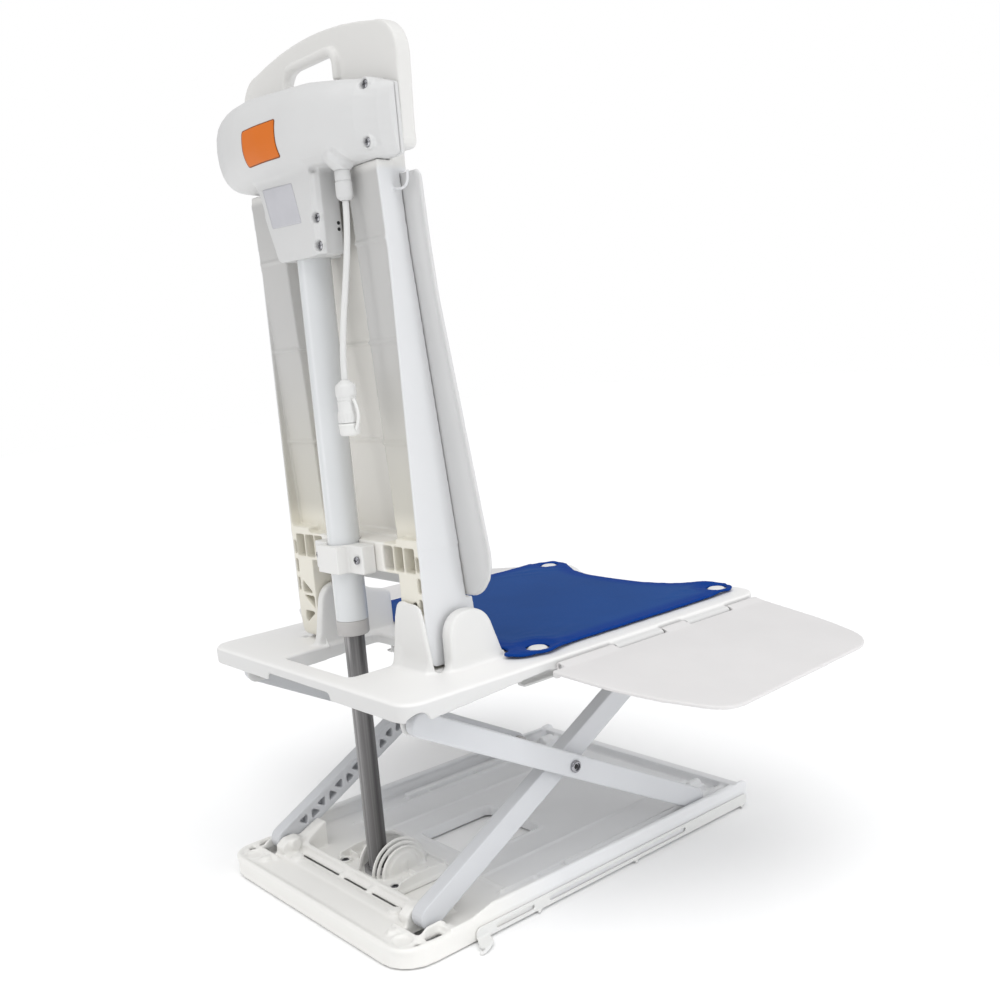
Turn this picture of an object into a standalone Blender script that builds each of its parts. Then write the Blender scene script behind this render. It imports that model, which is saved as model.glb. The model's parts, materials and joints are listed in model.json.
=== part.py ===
"""Bath lift chair: a powered seat on a scissor frame, for lowering a person into a bath.

Units are millimetres in the constants and metres in the scene. The origin is
on the floor under the middle of the chair's outline. +Z is up, the sitter faces -Y and
the sitter's left is +X. The chair is modelled part of the way up its travel.
"""

import math

import bmesh
import bpy
from mathutils import Matrix, Vector

MM = 0.001

# The lengths below are measured from the middle of the base. The whole chair is then
# moved forwards to back by this much, so that the origin is under the middle of its outline.
MIDDLE_Y = 12.0

# Base
BASE_HALF_W = 180.0
BASE_HALF_L = 264.0
SKIRT_Z = 1.0
FLOOR_Z = (9.0, 13.0)
SLAB_TOP = 20.0
RAIL_TOP = 32.0

# Scissor
PIVOT_Y = 207.0
PIVOT_Z = 30.0
ARM_LENGTH = 437.5
ARM_ANGLE = math.radians(27.83)
ARM_HALF_H = 13.0
INNER_X = (134.0, 152.0)
OUTER_X = (158.0, 170.0)
PIN_R = 4.0
PIN_HOLE_R = 4.7
GLIDE_R = 9.0

# Seat
DECK_HALF_W = 199.0
DECK_REAR = 245.0
DECK_FRONT = -288.0
DECK_Z = (263.0, 268.0)
WINDOW = (67.0, 98.0, 220.0)
COVER_Z = (268.4, 271.4)
PEG_R = 10.5

# Flaps
HINGE_X = 205.0
HINGE_Z = 259.5
KNUCKLE_R = 5.2
HINGE_ROD_R = 2.3
HINGE_BORE_R = 2.9
FLAP_DROOP = math.radians(7.0)
DECK_KNUCKLES = ((-100.0, -25.0), (-215.0, -140.0))
FLAP_KNUCKLES = ((-24.0, 56.0), (-139.0, -101.0), (-269.0, -216.0))

# Backrest
BACK_PIN = (116.0, 300.0)
BACK_HALF_W = 126.0
BACK_RIM_Y = 161.0
HEAD_Y = (130.0, 147.0)
HEAD_HALF_W = 150.5
HEAD_TOP = 920.5
BEAM_Z = (365.0, 397.0)
CLAMP_Z = (363.5, 394.0)
WALL = 3.5

# Actuator
ROD_Y = 168.0
ROD_R = 11.25
ROD_BORE_R = 8.5
ROD_Z = (18.4, 540.0)
TUBE_R = 17.5
TUBE_BORE_R = 14.8
TUBE_Z = (309.5, 745.0)
SPINDLE_R = 5.0
GEAR_R = 11.0
WORM_R = 5.0
WORM_Z = 812.0
WORM_Y = ROD_Y + GEAR_R + WORM_R + 0.6

# Housing
HOUSING_FRONT_Y = 147.4
HOUSING_SPLIT_Y = 152.0
NECK_SPLIT = (178.0, 770.0)
HOUSING_WALL = 3.5
NECK_X = (-46.0, 30.0)
NECK_REAR_Y = 192.0
NECK_BOTTOM = 694.0
NECK_FRONT_Y = 163.0
NECK_TUBE_X = 22.5

# Cable
CORD_R = 3.2
CORD_TOP = (-82.5, 176.0, 742.0)
CORD_END = (-71.0, 191.0, 569.0)


# ---------------------------------------------------------------- scene set-up

for old in list(bpy.data.objects):
    bpy.data.objects.remove(old, do_unlink=True)


def collection(name):
    coll = bpy.data.collections.new(name)
    bpy.context.scene.collection.children.link(coll)
    return coll


PARTS = collection("bath_lift_chair")
CUTTERS = collection("cutters")


def material(name, colour, roughness, metallic=0.0):
    mat = bpy.data.materials.new(name)
    mat.use_nodes = True
    shader = mat.node_tree.nodes["Principled BSDF"]
    shader.inputs["Base Color"].default_value = (*colour, 1.0)
    shader.inputs["Roughness"].default_value = roughness
    shader.inputs["Metallic"].default_value = metallic
    return mat


WHITE = material("white_abs", (0.82, 0.82, 0.81), 0.42)
GLOSS_WHITE = material("gloss_white", (0.80, 0.81, 0.82), 0.22)
COOL_WHITE = material("arm_white", (0.74, 0.76, 0.80), 0.40)
GREY = material("light_grey", (0.50, 0.50, 0.50), 0.50)
BLUE = material("blue_mat", (0.025, 0.075, 0.32), 0.60)
STEEL = material("stainless", (0.35, 0.33, 0.32), 0.32, 1.0)
BOLT = material("zinc_screw", (0.45, 0.45, 0.46), 0.30, 1.0)
RUBBER = material("white_rubber", (0.70, 0.70, 0.68), 0.65)
BRASS = material("bronze_gear", (0.45, 0.30, 0.12), 0.35, 1.0)
DARK = material("motor_case", (0.12, 0.12, 0.13), 0.40, 0.6)
CABLE = material("white_cable", (0.80, 0.80, 0.79), 0.45)


# ---------------------------------------------------------------- shape helpers


def put(name, mesh, mat=None):
    obj = bpy.data.objects.new(name, mesh)
    PARTS.objects.link(obj)
    if mat:
        mesh.materials.append(mat)
    return obj


def finish_mesh(name, bm, mat=None):
    bmesh.ops.remove_doubles(bm, verts=bm.verts, dist=1e-7)
    bmesh.ops.recalc_face_normals(bm, faces=bm.faces)
    mesh = bpy.data.meshes.new(name)
    bm.to_mesh(mesh)
    bm.free()
    return put(name, mesh, mat)


def box(name, x, y, z, mat=None):
    bm = bmesh.new()
    size = [(max(v) - min(v)) * MM for v in (x, y, z)]
    mid = [(max(v) + min(v)) / 2 * MM for v in (x, y, z)]
    bmesh.ops.create_cube(bm, size=1.0, matrix=Matrix.Translation(mid) @ Matrix.Diagonal((*size, 1.0)))
    return finish_mesh(name, bm, mat)


AXES = {
    "X": Matrix(((0, 0, 1, 0), (1, 0, 0, 0), (0, 1, 0, 0), (0, 0, 0, 1))),
    "Y": Matrix(((1, 0, 0, 0), (0, 0, -1, 0), (0, 1, 0, 0), (0, 0, 0, 1))),
    "Z": Matrix.Identity(4),
}


def along(axis, lo, hi, a, b):
    """World point in metres at the middle of lo..hi on an axis, with the other two coordinates in order."""
    m = (lo + hi) / 2
    return Vector({"X": (m, a, b), "Y": (a, m, b), "Z": (a, b, m)}[axis]) * MM


def cylinder(name, axis, a, b, lo, hi, r, mat=None, sides=20, r2=None):
    """A cylinder along an axis. a and b are its centre in the other two coordinates, in order."""
    bm = bmesh.new()
    turn = AXES[axis]
    bmesh.ops.create_cone(
        bm, cap_ends=True, segments=sides, radius1=r * MM, radius2=(r if r2 is None else r2) * MM,
        depth=abs(hi - lo) * MM, matrix=Matrix.Translation(along(axis, lo, hi, a, b)) @ turn,
    )
    return finish_mesh(name, bm, mat)


def turned(name, axis, a, b, profile, mat=None, sides=20):
    """A solid of revolution. profile is a list of (position along the axis, radius) from one end to the other."""
    bm = bmesh.new()
    rings = []
    for pos, r in profile:
        if r <= 0:
            rings.append([bm.verts.new(along(axis, pos, pos, a, b))])
            continue
        ring = []
        for k in range(sides):
            t = 2 * math.pi * k / sides
            offset = Vector((r * math.cos(t) * MM, r * math.sin(t) * MM, 0.0))
            ring.append(bm.verts.new(along(axis, pos, pos, a, b) + AXES[axis].to_3x3() @ offset))
        rings.append(ring)
    for low, high in zip(rings, rings[1:]):
        for k in range(sides):
            n = (k + 1) % sides
            if len(low) == 1:
                bm.faces.new((low[0], high[k], high[n]))
            elif len(high) == 1:
                bm.faces.new((low[k], high[0], low[n]))
            else:
                bm.faces.new((low[k], low[n], high[n], high[k]))
    for ring in (rings[0], rings[-1]):
        if len(ring) > 1:
            bm.faces.new(ring)
    return finish_mesh(name, bm, mat)


def ring(name, axis, a, b, lo, hi, r_out, r_in, mat=None, sides=24):
    """A tube with open ends, from a closed profile turned about an axis."""
    bm = bmesh.new()
    loops = []
    for pos, r in ((lo, r_out), (hi, r_out), (hi, r_in), (lo, r_in)):
        loop = []
        for k in range(sides):
            t = 2 * math.pi * k / sides
            offset = Vector((r * math.cos(t) * MM, r * math.sin(t) * MM, 0.0))
            loop.append(bm.verts.new(along(axis, pos, pos, a, b) + AXES[axis].to_3x3() @ offset))
        loops.append(loop)
    for i in range(4):
        low, high = loops[i], loops[(i + 1) % 4]
        for k in range(sides):
            n = (k + 1) % sides
            bm.faces.new((low[k], low[n], high[n], high[k]))
    return finish_mesh(name, bm, mat)


def fillet(points, radii, step=18.0):
    """A polygon's outline with each corner rounded to its radius."""
    out = []
    count = len(points)
    for i, (point, r) in enumerate(zip(points, radii)):
        p = Vector(point)
        a = Vector(points[i - 1]) - p
        b = Vector(points[(i + 1) % count]) - p
        if r <= 0:
            out.append((p.x, p.y))
            continue
        corner = a.angle(b)
        t = min(r / math.tan(corner / 2), 0.49 * min(a.length, b.length))
        r = t * math.tan(corner / 2)
        a.normalize()
        b.normalize()
        centre = p + (a + b).normalized() * (r / math.sin(corner / 2))
        start = p + a * t - centre
        end = p + b * t - centre
        sweep = math.pi - corner
        sign = 1.0 if start.x * end.y - start.y * end.x > 0 else -1.0
        steps = max(1, round(math.degrees(sweep) / step))
        for k in range(steps + 1):
            q = sign * sweep * k / steps
            out.append((
                centre.x + start.x * math.cos(q) - start.y * math.sin(q),
                centre.y + start.x * math.sin(q) + start.y * math.cos(q),
            ))
    return out


def rectangle(x0, x1, y0, y1, r=0.0, step=18.0):
    return fillet([(x0, y0), (x1, y0), (x1, y1), (x0, y1)], [r] * 4, step)


def circle(u, v, r, sides=16):
    return [(u + r * math.cos(2 * math.pi * k / sides), v + r * math.sin(2 * math.pi * k / sides)) for k in range(sides)]


PLANES = {
    "XY": Matrix.Identity(4),
    "XZ": Matrix(((1, 0, 0, 0), (0, 0, -1, 0), (0, 1, 0, 0), (0, 0, 0, 1))),
    "YZ": Matrix(((0, 0, 1, 0), (1, 0, 0, 0), (0, 1, 0, 0), (0, 0, 0, 1))),
}


def prism(name, loops, lo, hi, plane="XY", mat=None):
    """A flat outline, with any holes after it, given thickness from lo to hi across its plane."""
    curve = bpy.data.curves.new(name + "_outline", "CURVE")
    curve.dimensions = "2D"
    curve.fill_mode = "BOTH"
    curve.extrude = abs(hi - lo) / 2 * MM
    for loop in loops:
        spline = curve.splines.new("POLY")
        spline.points.add(len(loop) - 1)
        for point, (u, v) in zip(spline.points, loop):
            point.co = (u * MM, v * MM, 0.0, 1.0)
        spline.use_cyclic_u = True
    guide = bpy.data.objects.new(name + "_outline", curve)
    PARTS.objects.link(guide)
    graph = bpy.context.evaluated_depsgraph_get()
    mesh = bpy.data.meshes.new_from_object(guide.evaluated_get(graph))
    bpy.data.objects.remove(guide, do_unlink=True)
    normal = {"XY": (0, 0, 1), "XZ": (0, 1, 0), "YZ": (1, 0, 0)}[plane]
    mesh.transform(Matrix.Translation(Vector(normal) * ((lo + hi) / 2 * MM)) @ PLANES[plane])
    bm = bmesh.new()
    bm.from_mesh(mesh)
    bmesh.ops.remove_doubles(bm, verts=bm.verts, dist=1e-6)
    bpy.data.meshes.remove(mesh)
    return finish_mesh(name, bm, mat)


def loft(name, sections, mat=None):
    """A closed solid through rings of points that all have the same count."""
    bm = bmesh.new()
    rings = [[bm.verts.new([c * MM for c in p]) for p in section] for section in sections]
    for low, high in zip(rings, rings[1:]):
        for k in range(len(low)):
            n = (k + 1) % len(low)
            bm.faces.new((low[k], low[n], high[n], high[k]))
    bm.faces.new(rings[0])
    bm.faces.new(rings[-1])
    return finish_mesh(name, bm, mat)


def joined(name, objects, mat=None):
    """One object that holds the bodies of several, which don't touch."""
    bm = bmesh.new()
    for obj in objects:
        bm.from_mesh(obj.data)
        bpy.data.objects.remove(obj, do_unlink=True)
    mesh = bpy.data.meshes.new(name)
    bm.to_mesh(mesh)
    bm.free()
    return put(name, mesh, mat)


def boolean(obj, other, operation):
    PARTS.objects.unlink(other)
    CUTTERS.objects.link(other)
    other.hide_render = True
    other.display_type = "WIRE"
    mod = obj.modifiers.new(operation.title() + "_" + other.name, "BOOLEAN")
    mod.operation = operation
    mod.solver = "EXACT"
    mod.object = other
    return obj


def union(obj, *others):
    for other in others:
        boolean(obj, other, "UNION")
    return obj


def cut(obj, *others):
    other = joined("cut_" + obj.name, list(others))
    return boolean(obj, other, "DIFFERENCE")


def mirrored(points):
    return [(-u, v) for u, v in points]


def span(side, lo_hi):
    """A range of |x| on the +X side (1) or the -X side (-1)."""
    return tuple(sorted((side * lo_hi[0], side * lo_hi[1])))


SIDES = (("left", 1), ("right", -1))

# ---------------------------------------------------------------- base

outline = fillet(
    [(-BASE_HALF_W, -BASE_HALF_L), (BASE_HALF_W, -BASE_HALF_L), (BASE_HALF_W, BASE_HALF_L), (-BASE_HALF_W, BASE_HALF_L)],
    [14, 14, 36, 36],
)
inner = fillet(
    [(-174, -258), (174, -258), (174, 258), (-174, 258)],
    [9, 9, 31, 31],
)
floor_line = fillet([(-177, -261), (177, -261), (177, 197), (-177, 197)], [11, 11, 0, 0])
slab_line = fillet([(-177, 190), (177, 190), (177, 261), (-177, 261)], [0, 0, 33, 33])

base = prism("base_tray", [outline, inner], SKIRT_Z, SLAB_TOP, "XY", WHITE)
union(
    base,
    prism("base_floor", [floor_line, rectangle(-50, 50, -32, 74, 8)], *FLOOR_Z),
    prism("base_slab", [slab_line], SLAB_TOP - 4, SLAB_TOP),
    box("base_slab_front", (-175, 175), (190, 194), (FLOOR_Z[0], SLAB_TOP - 2)),
    box("base_front_beam", (-175, 175), (-262, -249), (FLOOR_Z[0] + 1, 24)),
    prism("base_window_rim", [rectangle(-54, 54, -36, 78, 11), rectangle(-50, 50, -32, 74, 8)], SKIRT_Z, FLOOR_Z[1] + 2),
)
wall_profile = [
    (-263, 3), (-263, 27), (-256, 31), (-246, 30), (-236, 27), (-190, RAIL_TOP - 1), (150, RAIL_TOP),
    (178, SLAB_TOP - 1), (206, SLAB_TOP - 1), (206, 3),
]
for side_name, side in SIDES:
    union(
        base,
        prism("base_wall_" + side_name, [wall_profile], *span(side, (174.5, 179.5)), "YZ"),
        box("base_ledge_" + side_name, span(side, (147, 157)), (-255, 22), (FLOOR_Z[0] + 1, 20.4)),
        prism(
            "base_block_" + side_name,
            [fillet([(164, 10), (224, 10), (224, 30), (215, 36.6), (200, 36.6), (194, 32), (168, 44), (164, 44)], [0, 0, 3, 7, 5, 4, 2, 1])],
            *span(side, (117, 132.5)), "YZ",
        ),
    )
cut(
    base,
    *[box("cut_arm_well", span(s, (133, 156)), (189, 229), (14, 60)) for _, s in SIDES],
    *[cylinder("cut_pin", "X", PIVOT_Y, PIVOT_Z, *span(s, (110, 132.8)), PIN_HOLE_R, sides=16) for _, s in SIDES],
    *[cylinder("cut_recess", "Z", s * 150, 242, SLAB_TOP - 1.6, SLAB_TOP + 3, 12) for _, s in SIDES],
    prism("cut_shallow", [rectangle(-130, 130, 222, 254, 10)], SLAB_TOP - 1.4, SLAB_TOP + 3),
    box("cut_groove", (-104, 104), (202, 212), (SLAB_TOP - 1.8, SLAB_TOP + 4)),
)

for index, (x, y) in enumerate(((118, 126), (-118, 126), (118, -196), (-118, -196)), 1):
    turned(
        f"suction_cup_{index}", "Z", x, y,
        [(0.0, 30), (1.4, 30), (4.2, 20), (5.6, 11), (8.7, 11)], RUBBER, 18,
    )

for side_name, side in SIDES:
    strip = prism(
        "release_strip_" + side_name,
        [
            fillet([(-256, 2), (176, 2), (176, 15), (-256, 15)], [2, 4, 6, 2]),
            fillet([(98, 6), (150, 6), (150, 11), (98, 11)], [2.4] * 4, 45),
            fillet([(-142, 6), (76, 6), (76, 11), (-142, 11)], [2.4] * 4, 45),
        ],
        *span(side, (180.4, 183.0)), "YZ", RUBBER,
    )
    union(
        strip,
        prism(
            "strip_tab_" + side_name,
            [[(side * u, v) for u, v in fillet([(181.5, 160), (197, 166), (203, 178), (196, 184), (181.5, 175)], [0, 6, 5, 5, 0])]],
            2.2, 5.4,
        ),
    )

# Foot of the lift rod: a flanged bracket with stepped cheeks around the nut
foot = prism(
    "foot_bracket",
    [rectangle(-62, 62, 106, 189.5, 10), circle(0, ROD_Y, 6.0, 12)] ,
    FLOOR_Z[1] + 0.3, 18.0, "XY", WHITE,
)
cheeks = []
for s in (1, -1):
    for x0, x1, r in ((21, 25, 30), (30, 33.5, 26), (38.5, 42, 21)):
        arc = [(150 + r * math.cos(math.pi * k / 10), 17 + r * math.sin(math.pi * k / 10)) for k in range(11)]
        cheeks.append(prism("foot_cheek", [arc], *span(s, (x0, x1)), "YZ"))
    cheeks.append(box("foot_web", span(s, (20.5, 42.5)), (147, 153), (16, 30)))
union(foot, *cheeks)
foot_screws = [(-50, 181), (-53, 119), (50, 181), (53, 119)]
cut(foot, *[cylinder("cut_screw", "Z", x, y, 10, 30, 2.6, sides=12) for x, y in foot_screws])
for index, (x, y) in enumerate(foot_screws, 1):
    turned(f"foot_screw_{index}", "Z", x, y, [(13.6, 1.9), (18.3, 1.9), (18.3, 4.4), (20.4, 4.2), (21.3, 2.6)], BOLT, 10)
nut = prism("foot_nut", [circle(0, ROD_Y, 16.0, 6), circle(0, ROD_Y, ROD_R + 0.5, 24)], 18.4, 27.0, "XY", BOLT)
ring("lift_rod", "Z", 0, ROD_Y, *ROD_Z, ROD_R, ROD_BORE_R, STEEL, 24)
ring("spindle_nut", "Z", 0, ROD_Y, ROD_Z[1] + 0.4, ROD_Z[1] + 16, 13.8, SPINDLE_R + 0.7, BRASS, 24)

for side_name, side in SIDES:
    turned(
        "base_pivot_pin_" + side_name, "X", PIVOT_Y, PIVOT_Z,
        [(side * 114.4, 6.2), (side * 116.7, 6.8), (side * 116.7, PIN_R), (side * 147.6, PIN_R)], BOLT, 12,
    )

# ---------------------------------------------------------------- scissor arms


def arm_points(pairs, rising):
    """Points (distance along the arm from its rear pivot, height across it) in the YZ plane."""
    c, s = math.cos(ARM_ANGLE), math.sin(ARM_ANGLE)
    out = []
    for d, h in pairs:
        if rising:
            out.append((PIVOT_Y - d * c + h * s, PIVOT_Z + d * s + h * c))
        else:
            out.append((PIVOT_Y - d * c - h * s, PIVOT_Z + ARM_LENGTH * s - d * s + h * c))
    return out


def arm_outline(rising):
    pairs = []
    for end, start in ((ARM_LENGTH, -90), (0.0, 90)):
        for k in range(9):
            t = math.radians(start + 180 * k / 8)
            pairs.append((end + ARM_HALF_H * math.cos(t), ARM_HALF_H * math.sin(t)))
    return arm_points(pairs, rising)


def pivot_hole(d, rising):
    (y, z), = arm_points([(d, 0.0)], rising)
    return circle(y, z, PIN_HOLE_R, 14)


def truss(side):
    """Triangular lightening pockets on the arm's inner face."""
    pockets = []
    for k in range(26):
        d = 30 + 15.0 * k
        if abs(d - ARM_LENGTH / 2) < 20 or d > ARM_LENGTH - 34:
            continue
        up = 1 if k % 2 else -1
        tri = arm_points([(d - 7, -5.4 * up), (d + 7, -5.4 * up), (d, 5.4 * up)], True)
        pockets.append(prism("cut_truss", [tri], *span(side, (INNER_X[0] - 4, INNER_X[0] + 12)), "YZ"))
    return pockets


MID = arm_points([(ARM_LENGTH / 2, 0.0)], True)[0]
LOW_GLIDE = arm_points([(ARM_LENGTH, 0.0)], False)[0]
HIGH_GLIDE = arm_points([(ARM_LENGTH, 0.0)], True)[0]
DECK_PIVOT = arm_points([(0.0, 0.0)], False)[0]

for side_name, side in SIDES:
    arm = prism(
        "inner_arm_" + side_name,
        [arm_outline(True)] + [pivot_hole(d, True) for d in (ARM_LENGTH / 2, ARM_LENGTH)],
        *span(side, INNER_X), "YZ", COOL_WHITE,
    )
    cut(arm, cylinder("cut_pivot", "X", PIVOT_Y, PIVOT_Z, *span(side, (INNER_X[0] - 4, INNER_X[1] - 4)), PIN_HOLE_R, sides=14), *truss(side))
    arm = prism(
        "outer_arm_" + side_name,
        [arm_outline(False), pivot_hole(ARM_LENGTH / 2, False)],
        *span(side, OUTER_X), "YZ", COOL_WHITE,
    )
    cut(
        arm,
        cylinder("cut_pivot", "X", *DECK_PIVOT, *span(side, (OUTER_X[0] - 4, OUTER_X[1] - 3)), PIN_HOLE_R, sides=14),
        cylinder("cut_pivot", "X", *LOW_GLIDE, *span(side, (OUTER_X[0] - 4, OUTER_X[1] - 3)), PIN_HOLE_R, sides=14),
    )
    turned(
        "upper_glide_" + side_name, "X", *HIGH_GLIDE,
        [(side * 123.2, GLIDE_R - 1), (side * 124.2, GLIDE_R), (side * 133.6, GLIDE_R), (side * 133.6, PIN_R), (side * 151.6, PIN_R)],
        GREY, 16,
    )
    turned(
        "lower_glide_" + side_name, "X", *LOW_GLIDE,
        [(side * 148.4, GLIDE_R - 1), (side * 149.4, GLIDE_R), (side * 157.6, GLIDE_R), (side * 157.6, PIN_R), (side * 166.6, PIN_R)],
        GREY, 16,
    )
    turned(
        "mid_pivot_bolt_" + side_name, "X", *MID,
        [
            (side * 131.6, 5.6), (side * 132.2, 6.4), (side * 133.6, 6.4), (side * 133.6, PIN_R), (side * 152.4, PIN_R),
            (side * 152.4, 8.4), (side * 157.6, 8.4), (side * 157.6, PIN_R), (side * 170.4, PIN_R),
            (side * 170.4, 6.8), (side * 172.6, 6.6), (side * 173.4, 5.4),
        ],
        BOLT, 14,
    )

# ---------------------------------------------------------------- seat deck

# Front edge, from the middle to its corner, hollow like the mat's
front_half = [(0, DECK_FRONT + 39), (50, DECK_FRONT + 36), (88, DECK_FRONT + 24.5), (112, DECK_FRONT + 9), (132, DECK_FRONT)]
front_line = mirrored(front_half[1:])[::-1] + front_half
deck_line = fillet(
    front_line + [(DECK_HALF_W, DECK_FRONT), (DECK_HALF_W, DECK_REAR), (-DECK_HALF_W, DECK_REAR), (-DECK_HALF_W, DECK_FRONT)],
    [0] * len(front_line) + [30, 22, 22, 30],
)
deck_inner = fillet(
    [(x, y + 4) for x, y in front_line] + [(195, DECK_FRONT + 4), (195, DECK_REAR - 4), (-195, DECK_REAR - 4), (-195, DECK_FRONT + 4)],
    [0] * len(front_line) + [26, 18, 18, 26],
)
window = rectangle(-WINDOW[0], WINDOW[0], WINDOW[1], WINDOW[2], 8)
skirt_line = fillet(
    [
        (DECK_HALF_W, 62), (DECK_HALF_W, DECK_REAR), (-DECK_HALF_W, DECK_REAR), (-DECK_HALF_W, 62),
        (-194.5, 62), (-194.5, DECK_REAR - 4.5), (194.5, DECK_REAR - 4.5), (194.5, 62),
    ],
    [0, 22, 22, 0, 0, 17.5, 17.5, 0],
)
deck = prism("seat_deck", [deck_line, window], *DECK_Z, "XY", WHITE)
union(
    deck,
    prism("deck_edge", [deck_line, deck_inner], 255.5, 264.0),
    prism("deck_skirt", [skirt_line], 248.0, 264.0),
    prism("deck_window_rim", [rectangle(-71, 71, 94, 224, 11), window], 250.0, 264.0),
)
ear_outer = fillet([(147, 264), (146, 327), (98, 327), (76, 264)], [0, 26, 27, 0])
ear_inner = fillet([(170.5, 264), (157.5, 337), (120, 337), (93, 320), (66, 313), (65, 264)], [0, 24, 20, 20, 8, 0])
for side_name, side in SIDES:
    rail = [
        (side * u, v)
        for u, v in (
            (118.5, 265), (118.5, 220.8), (131, 220.8), (131, 224.4), (122, 224.4), (122, 243.7),
            (133.4, 243.7), (133.4, 248), (122, 248), (122, 265),
        )
    ]
    union(
        deck,
        prism("ear_outer_" + side_name, [ear_outer], *span(side, (129.8, 146)), "YZ"),
        prism("ear_inner_" + side_name, [ear_inner], *span(side, (72, 84.2)), "YZ"),
        prism("deck_rail_" + side_name, [rail], -264, 42, "XZ"),
        prism(
            "deck_bracket_" + side_name,
            [fillet([(191, 265), (191, 222), (223, 222), (223, 265)], [0, 12, 12, 0]), circle(*DECK_PIVOT, PIN_HOLE_R, 14)],
            *span(side, (152.9, 157.3)), "YZ",
        ),
        *[
            prism(
                "deck_knuckle_" + side_name,
                [[(side * u, v) for u, v in (
                    [(196, 255.6), (HINGE_X, HINGE_Z - KNUCKLE_R)]
                    + [
                        (HINGE_X + KNUCKLE_R * math.cos(math.radians(t)), HINGE_Z + KNUCKLE_R * math.sin(math.radians(t)))
                        for t in range(-72, 91, 18)
                    ]
                    + [(196, HINGE_Z + KNUCKLE_R)]
                )]],
                lo, hi, "XZ",
            )
            for lo, hi in DECK_KNUCKLES
        ],
    )
union(deck, prism(
    "ear_wall_right", [fillet([(-66.6, 264), (-69, 282), (-77, 322), (-84, 340), (-122, 337), (-136, 264)], [0, 12, 0, 14, 8, 0])], 161.6, 165.4, "XZ",
))
pegs = [(152, -261), (-152, -261), (160, 44), (-160, 44)]
union(deck, joined("deck_pegs", [
    turned("deck_peg", "Z", x, y, [(266.5, 8.0), (269.0, 8.0), (269.0, PEG_R), (271.0, PEG_R), (271.8, PEG_R - 1.4)], None, 20)
    for x, y in pegs
]))
wedge = [(216, 240), (216, 248), (62, 257.5), (60, 257.5), (60, 240)]
cut(
    deck,
    prism("cut_slope", [wedge], -215, 215, "YZ"),
    box("cut_grip", (-63, 63), (238, 250), (240, 255.4)),
    *[cylinder("cut_notch", "X", 228, 246.5, *span(s, (186, 205)), 11, sides=20) for _, s in SIDES],
    *[cylinder("cut_hinge", "Y", s * HINGE_X, HINGE_Z, -230, -10, HINGE_BORE_R, sides=12) for _, s in SIDES],
    *[cylinder("cut_back_pin", "X", *BACK_PIN, *span(s, (66, 141)), 5.7, sides=16) for _, s in SIDES],
    *[box("cut_slot", span(s, (126.2, 134.5)), (148.5, 157), (260, 285)) for _, s in SIDES],
)

for side_name, side in SIDES:
    turned(
        "deck_pivot_pin_" + side_name, "X", *DECK_PIVOT,
        [(side * 150.0, 6.5), (side * 152.5, 6.5), (side * 152.5, PIN_R), (side * 166.6, PIN_R)],
        BOLT, 12,
    )
    cylinder("flap_rod_" + side_name, "Y", side * HINGE_X, HINGE_Z, -268, 54, HINGE_ROD_R, STEEL, 12)
    cylinder("backrest_pin_" + side_name, "X", *BACK_PIN, *span(side, (72.5, 140.4)), 5.0, STEEL, 16)

# Cover: a flat mat with a tab over each peg and a hollow front edge
cover_half = (
    [(0.0, -236.0), (50.0, -239.0), (88.0, -250.0), (118.0, -270.0)]
    + [(152 + 25 * math.cos(math.radians(t)), -261 + 25 * math.sin(math.radians(t))) for t in range(-120, 11, 13)]
    + [(177.0, -236.0), (177.0, 12.0)]
    + [(160 + 28 * math.cos(math.radians(t)), 44 + 28 * math.sin(math.radians(t))) for t in range(-40, 41, 16)]
    + [(176.0, 80.0), (166.0, 90.0), (151.0, 91.0), (149.0, 72.0), (90.0, 72.0), (88.0, 61.5), (64.0, 61.5), (60.0, 76.0), (0.0, 80.0)]
)
cover_line = cover_half + mirrored(cover_half[1:-1])[::-1]
prism(
    "seat_cover", [cover_line] + [circle(x, y, PEG_R + 1.6, 20) for x, y in pegs], *COVER_Z, "XY", BLUE,
)

# ---------------------------------------------------------------- flaps

flap_half = fillet(
    [(7, 74), (104, 58), (187, 15), (172, -249), (100, -265), (7, -271)],
    [3, 160, 36, 44, 160, 3], 15,
)
for side_name, side in SIDES:
    line = [(side * (HINGE_X + u), v) for u, v in flap_half]
    rim = [(side * (HINGE_X + u), v) for u, v in fillet(
        [(12, 68.5), (103, 53), (181.5, 12), (167, -244.5), (99, -260), (12, -266)],
        [3, 155, 31, 41, 155, 3], 15,
    )]
    flap = prism("flap_" + side_name, [line], HINGE_Z - 1.0, HINGE_Z + 3.0, "XY", WHITE)
    union(
        flap,
        prism("flap_rim_" + side_name, [line, rim], HINGE_Z - 4.2, HINGE_Z),
        *[
            prism(
                "flap_knuckle_" + side_name,
                [[(side * u, v) for u, v in (
                    [(HINGE_X + 14, HINGE_Z + 2.7), (HINGE_X, HINGE_Z + KNUCKLE_R)]
                    + [
                        (HINGE_X + KNUCKLE_R * math.cos(math.radians(t)), HINGE_Z + KNUCKLE_R * math.sin(math.radians(t)))
                        for t in range(108, 271, 18)
                    ]
                    + [(HINGE_X + 14, HINGE_Z - 3.8)]
                )]],
                lo, hi, "XZ",
            )
            for lo, hi in FLAP_KNUCKLES
        ],
    )
    cut(flap, cylinder("cut_flap_bore", "Y", side * HINGE_X, HINGE_Z, -290, 90, HINGE_BORE_R, sides=12))
    centre = Vector((side * HINGE_X * MM, 0.0, HINGE_Z * MM))
    droop = Matrix.Translation(centre) @ Matrix.Rotation(side * FLAP_DROOP, 4, "Y") @ Matrix.Translation(-centre)
    flap.data.transform(droop)
    for mod in flap.modifiers:
        mod.object.data.transform(droop)

# ---------------------------------------------------------------- backrest


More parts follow.
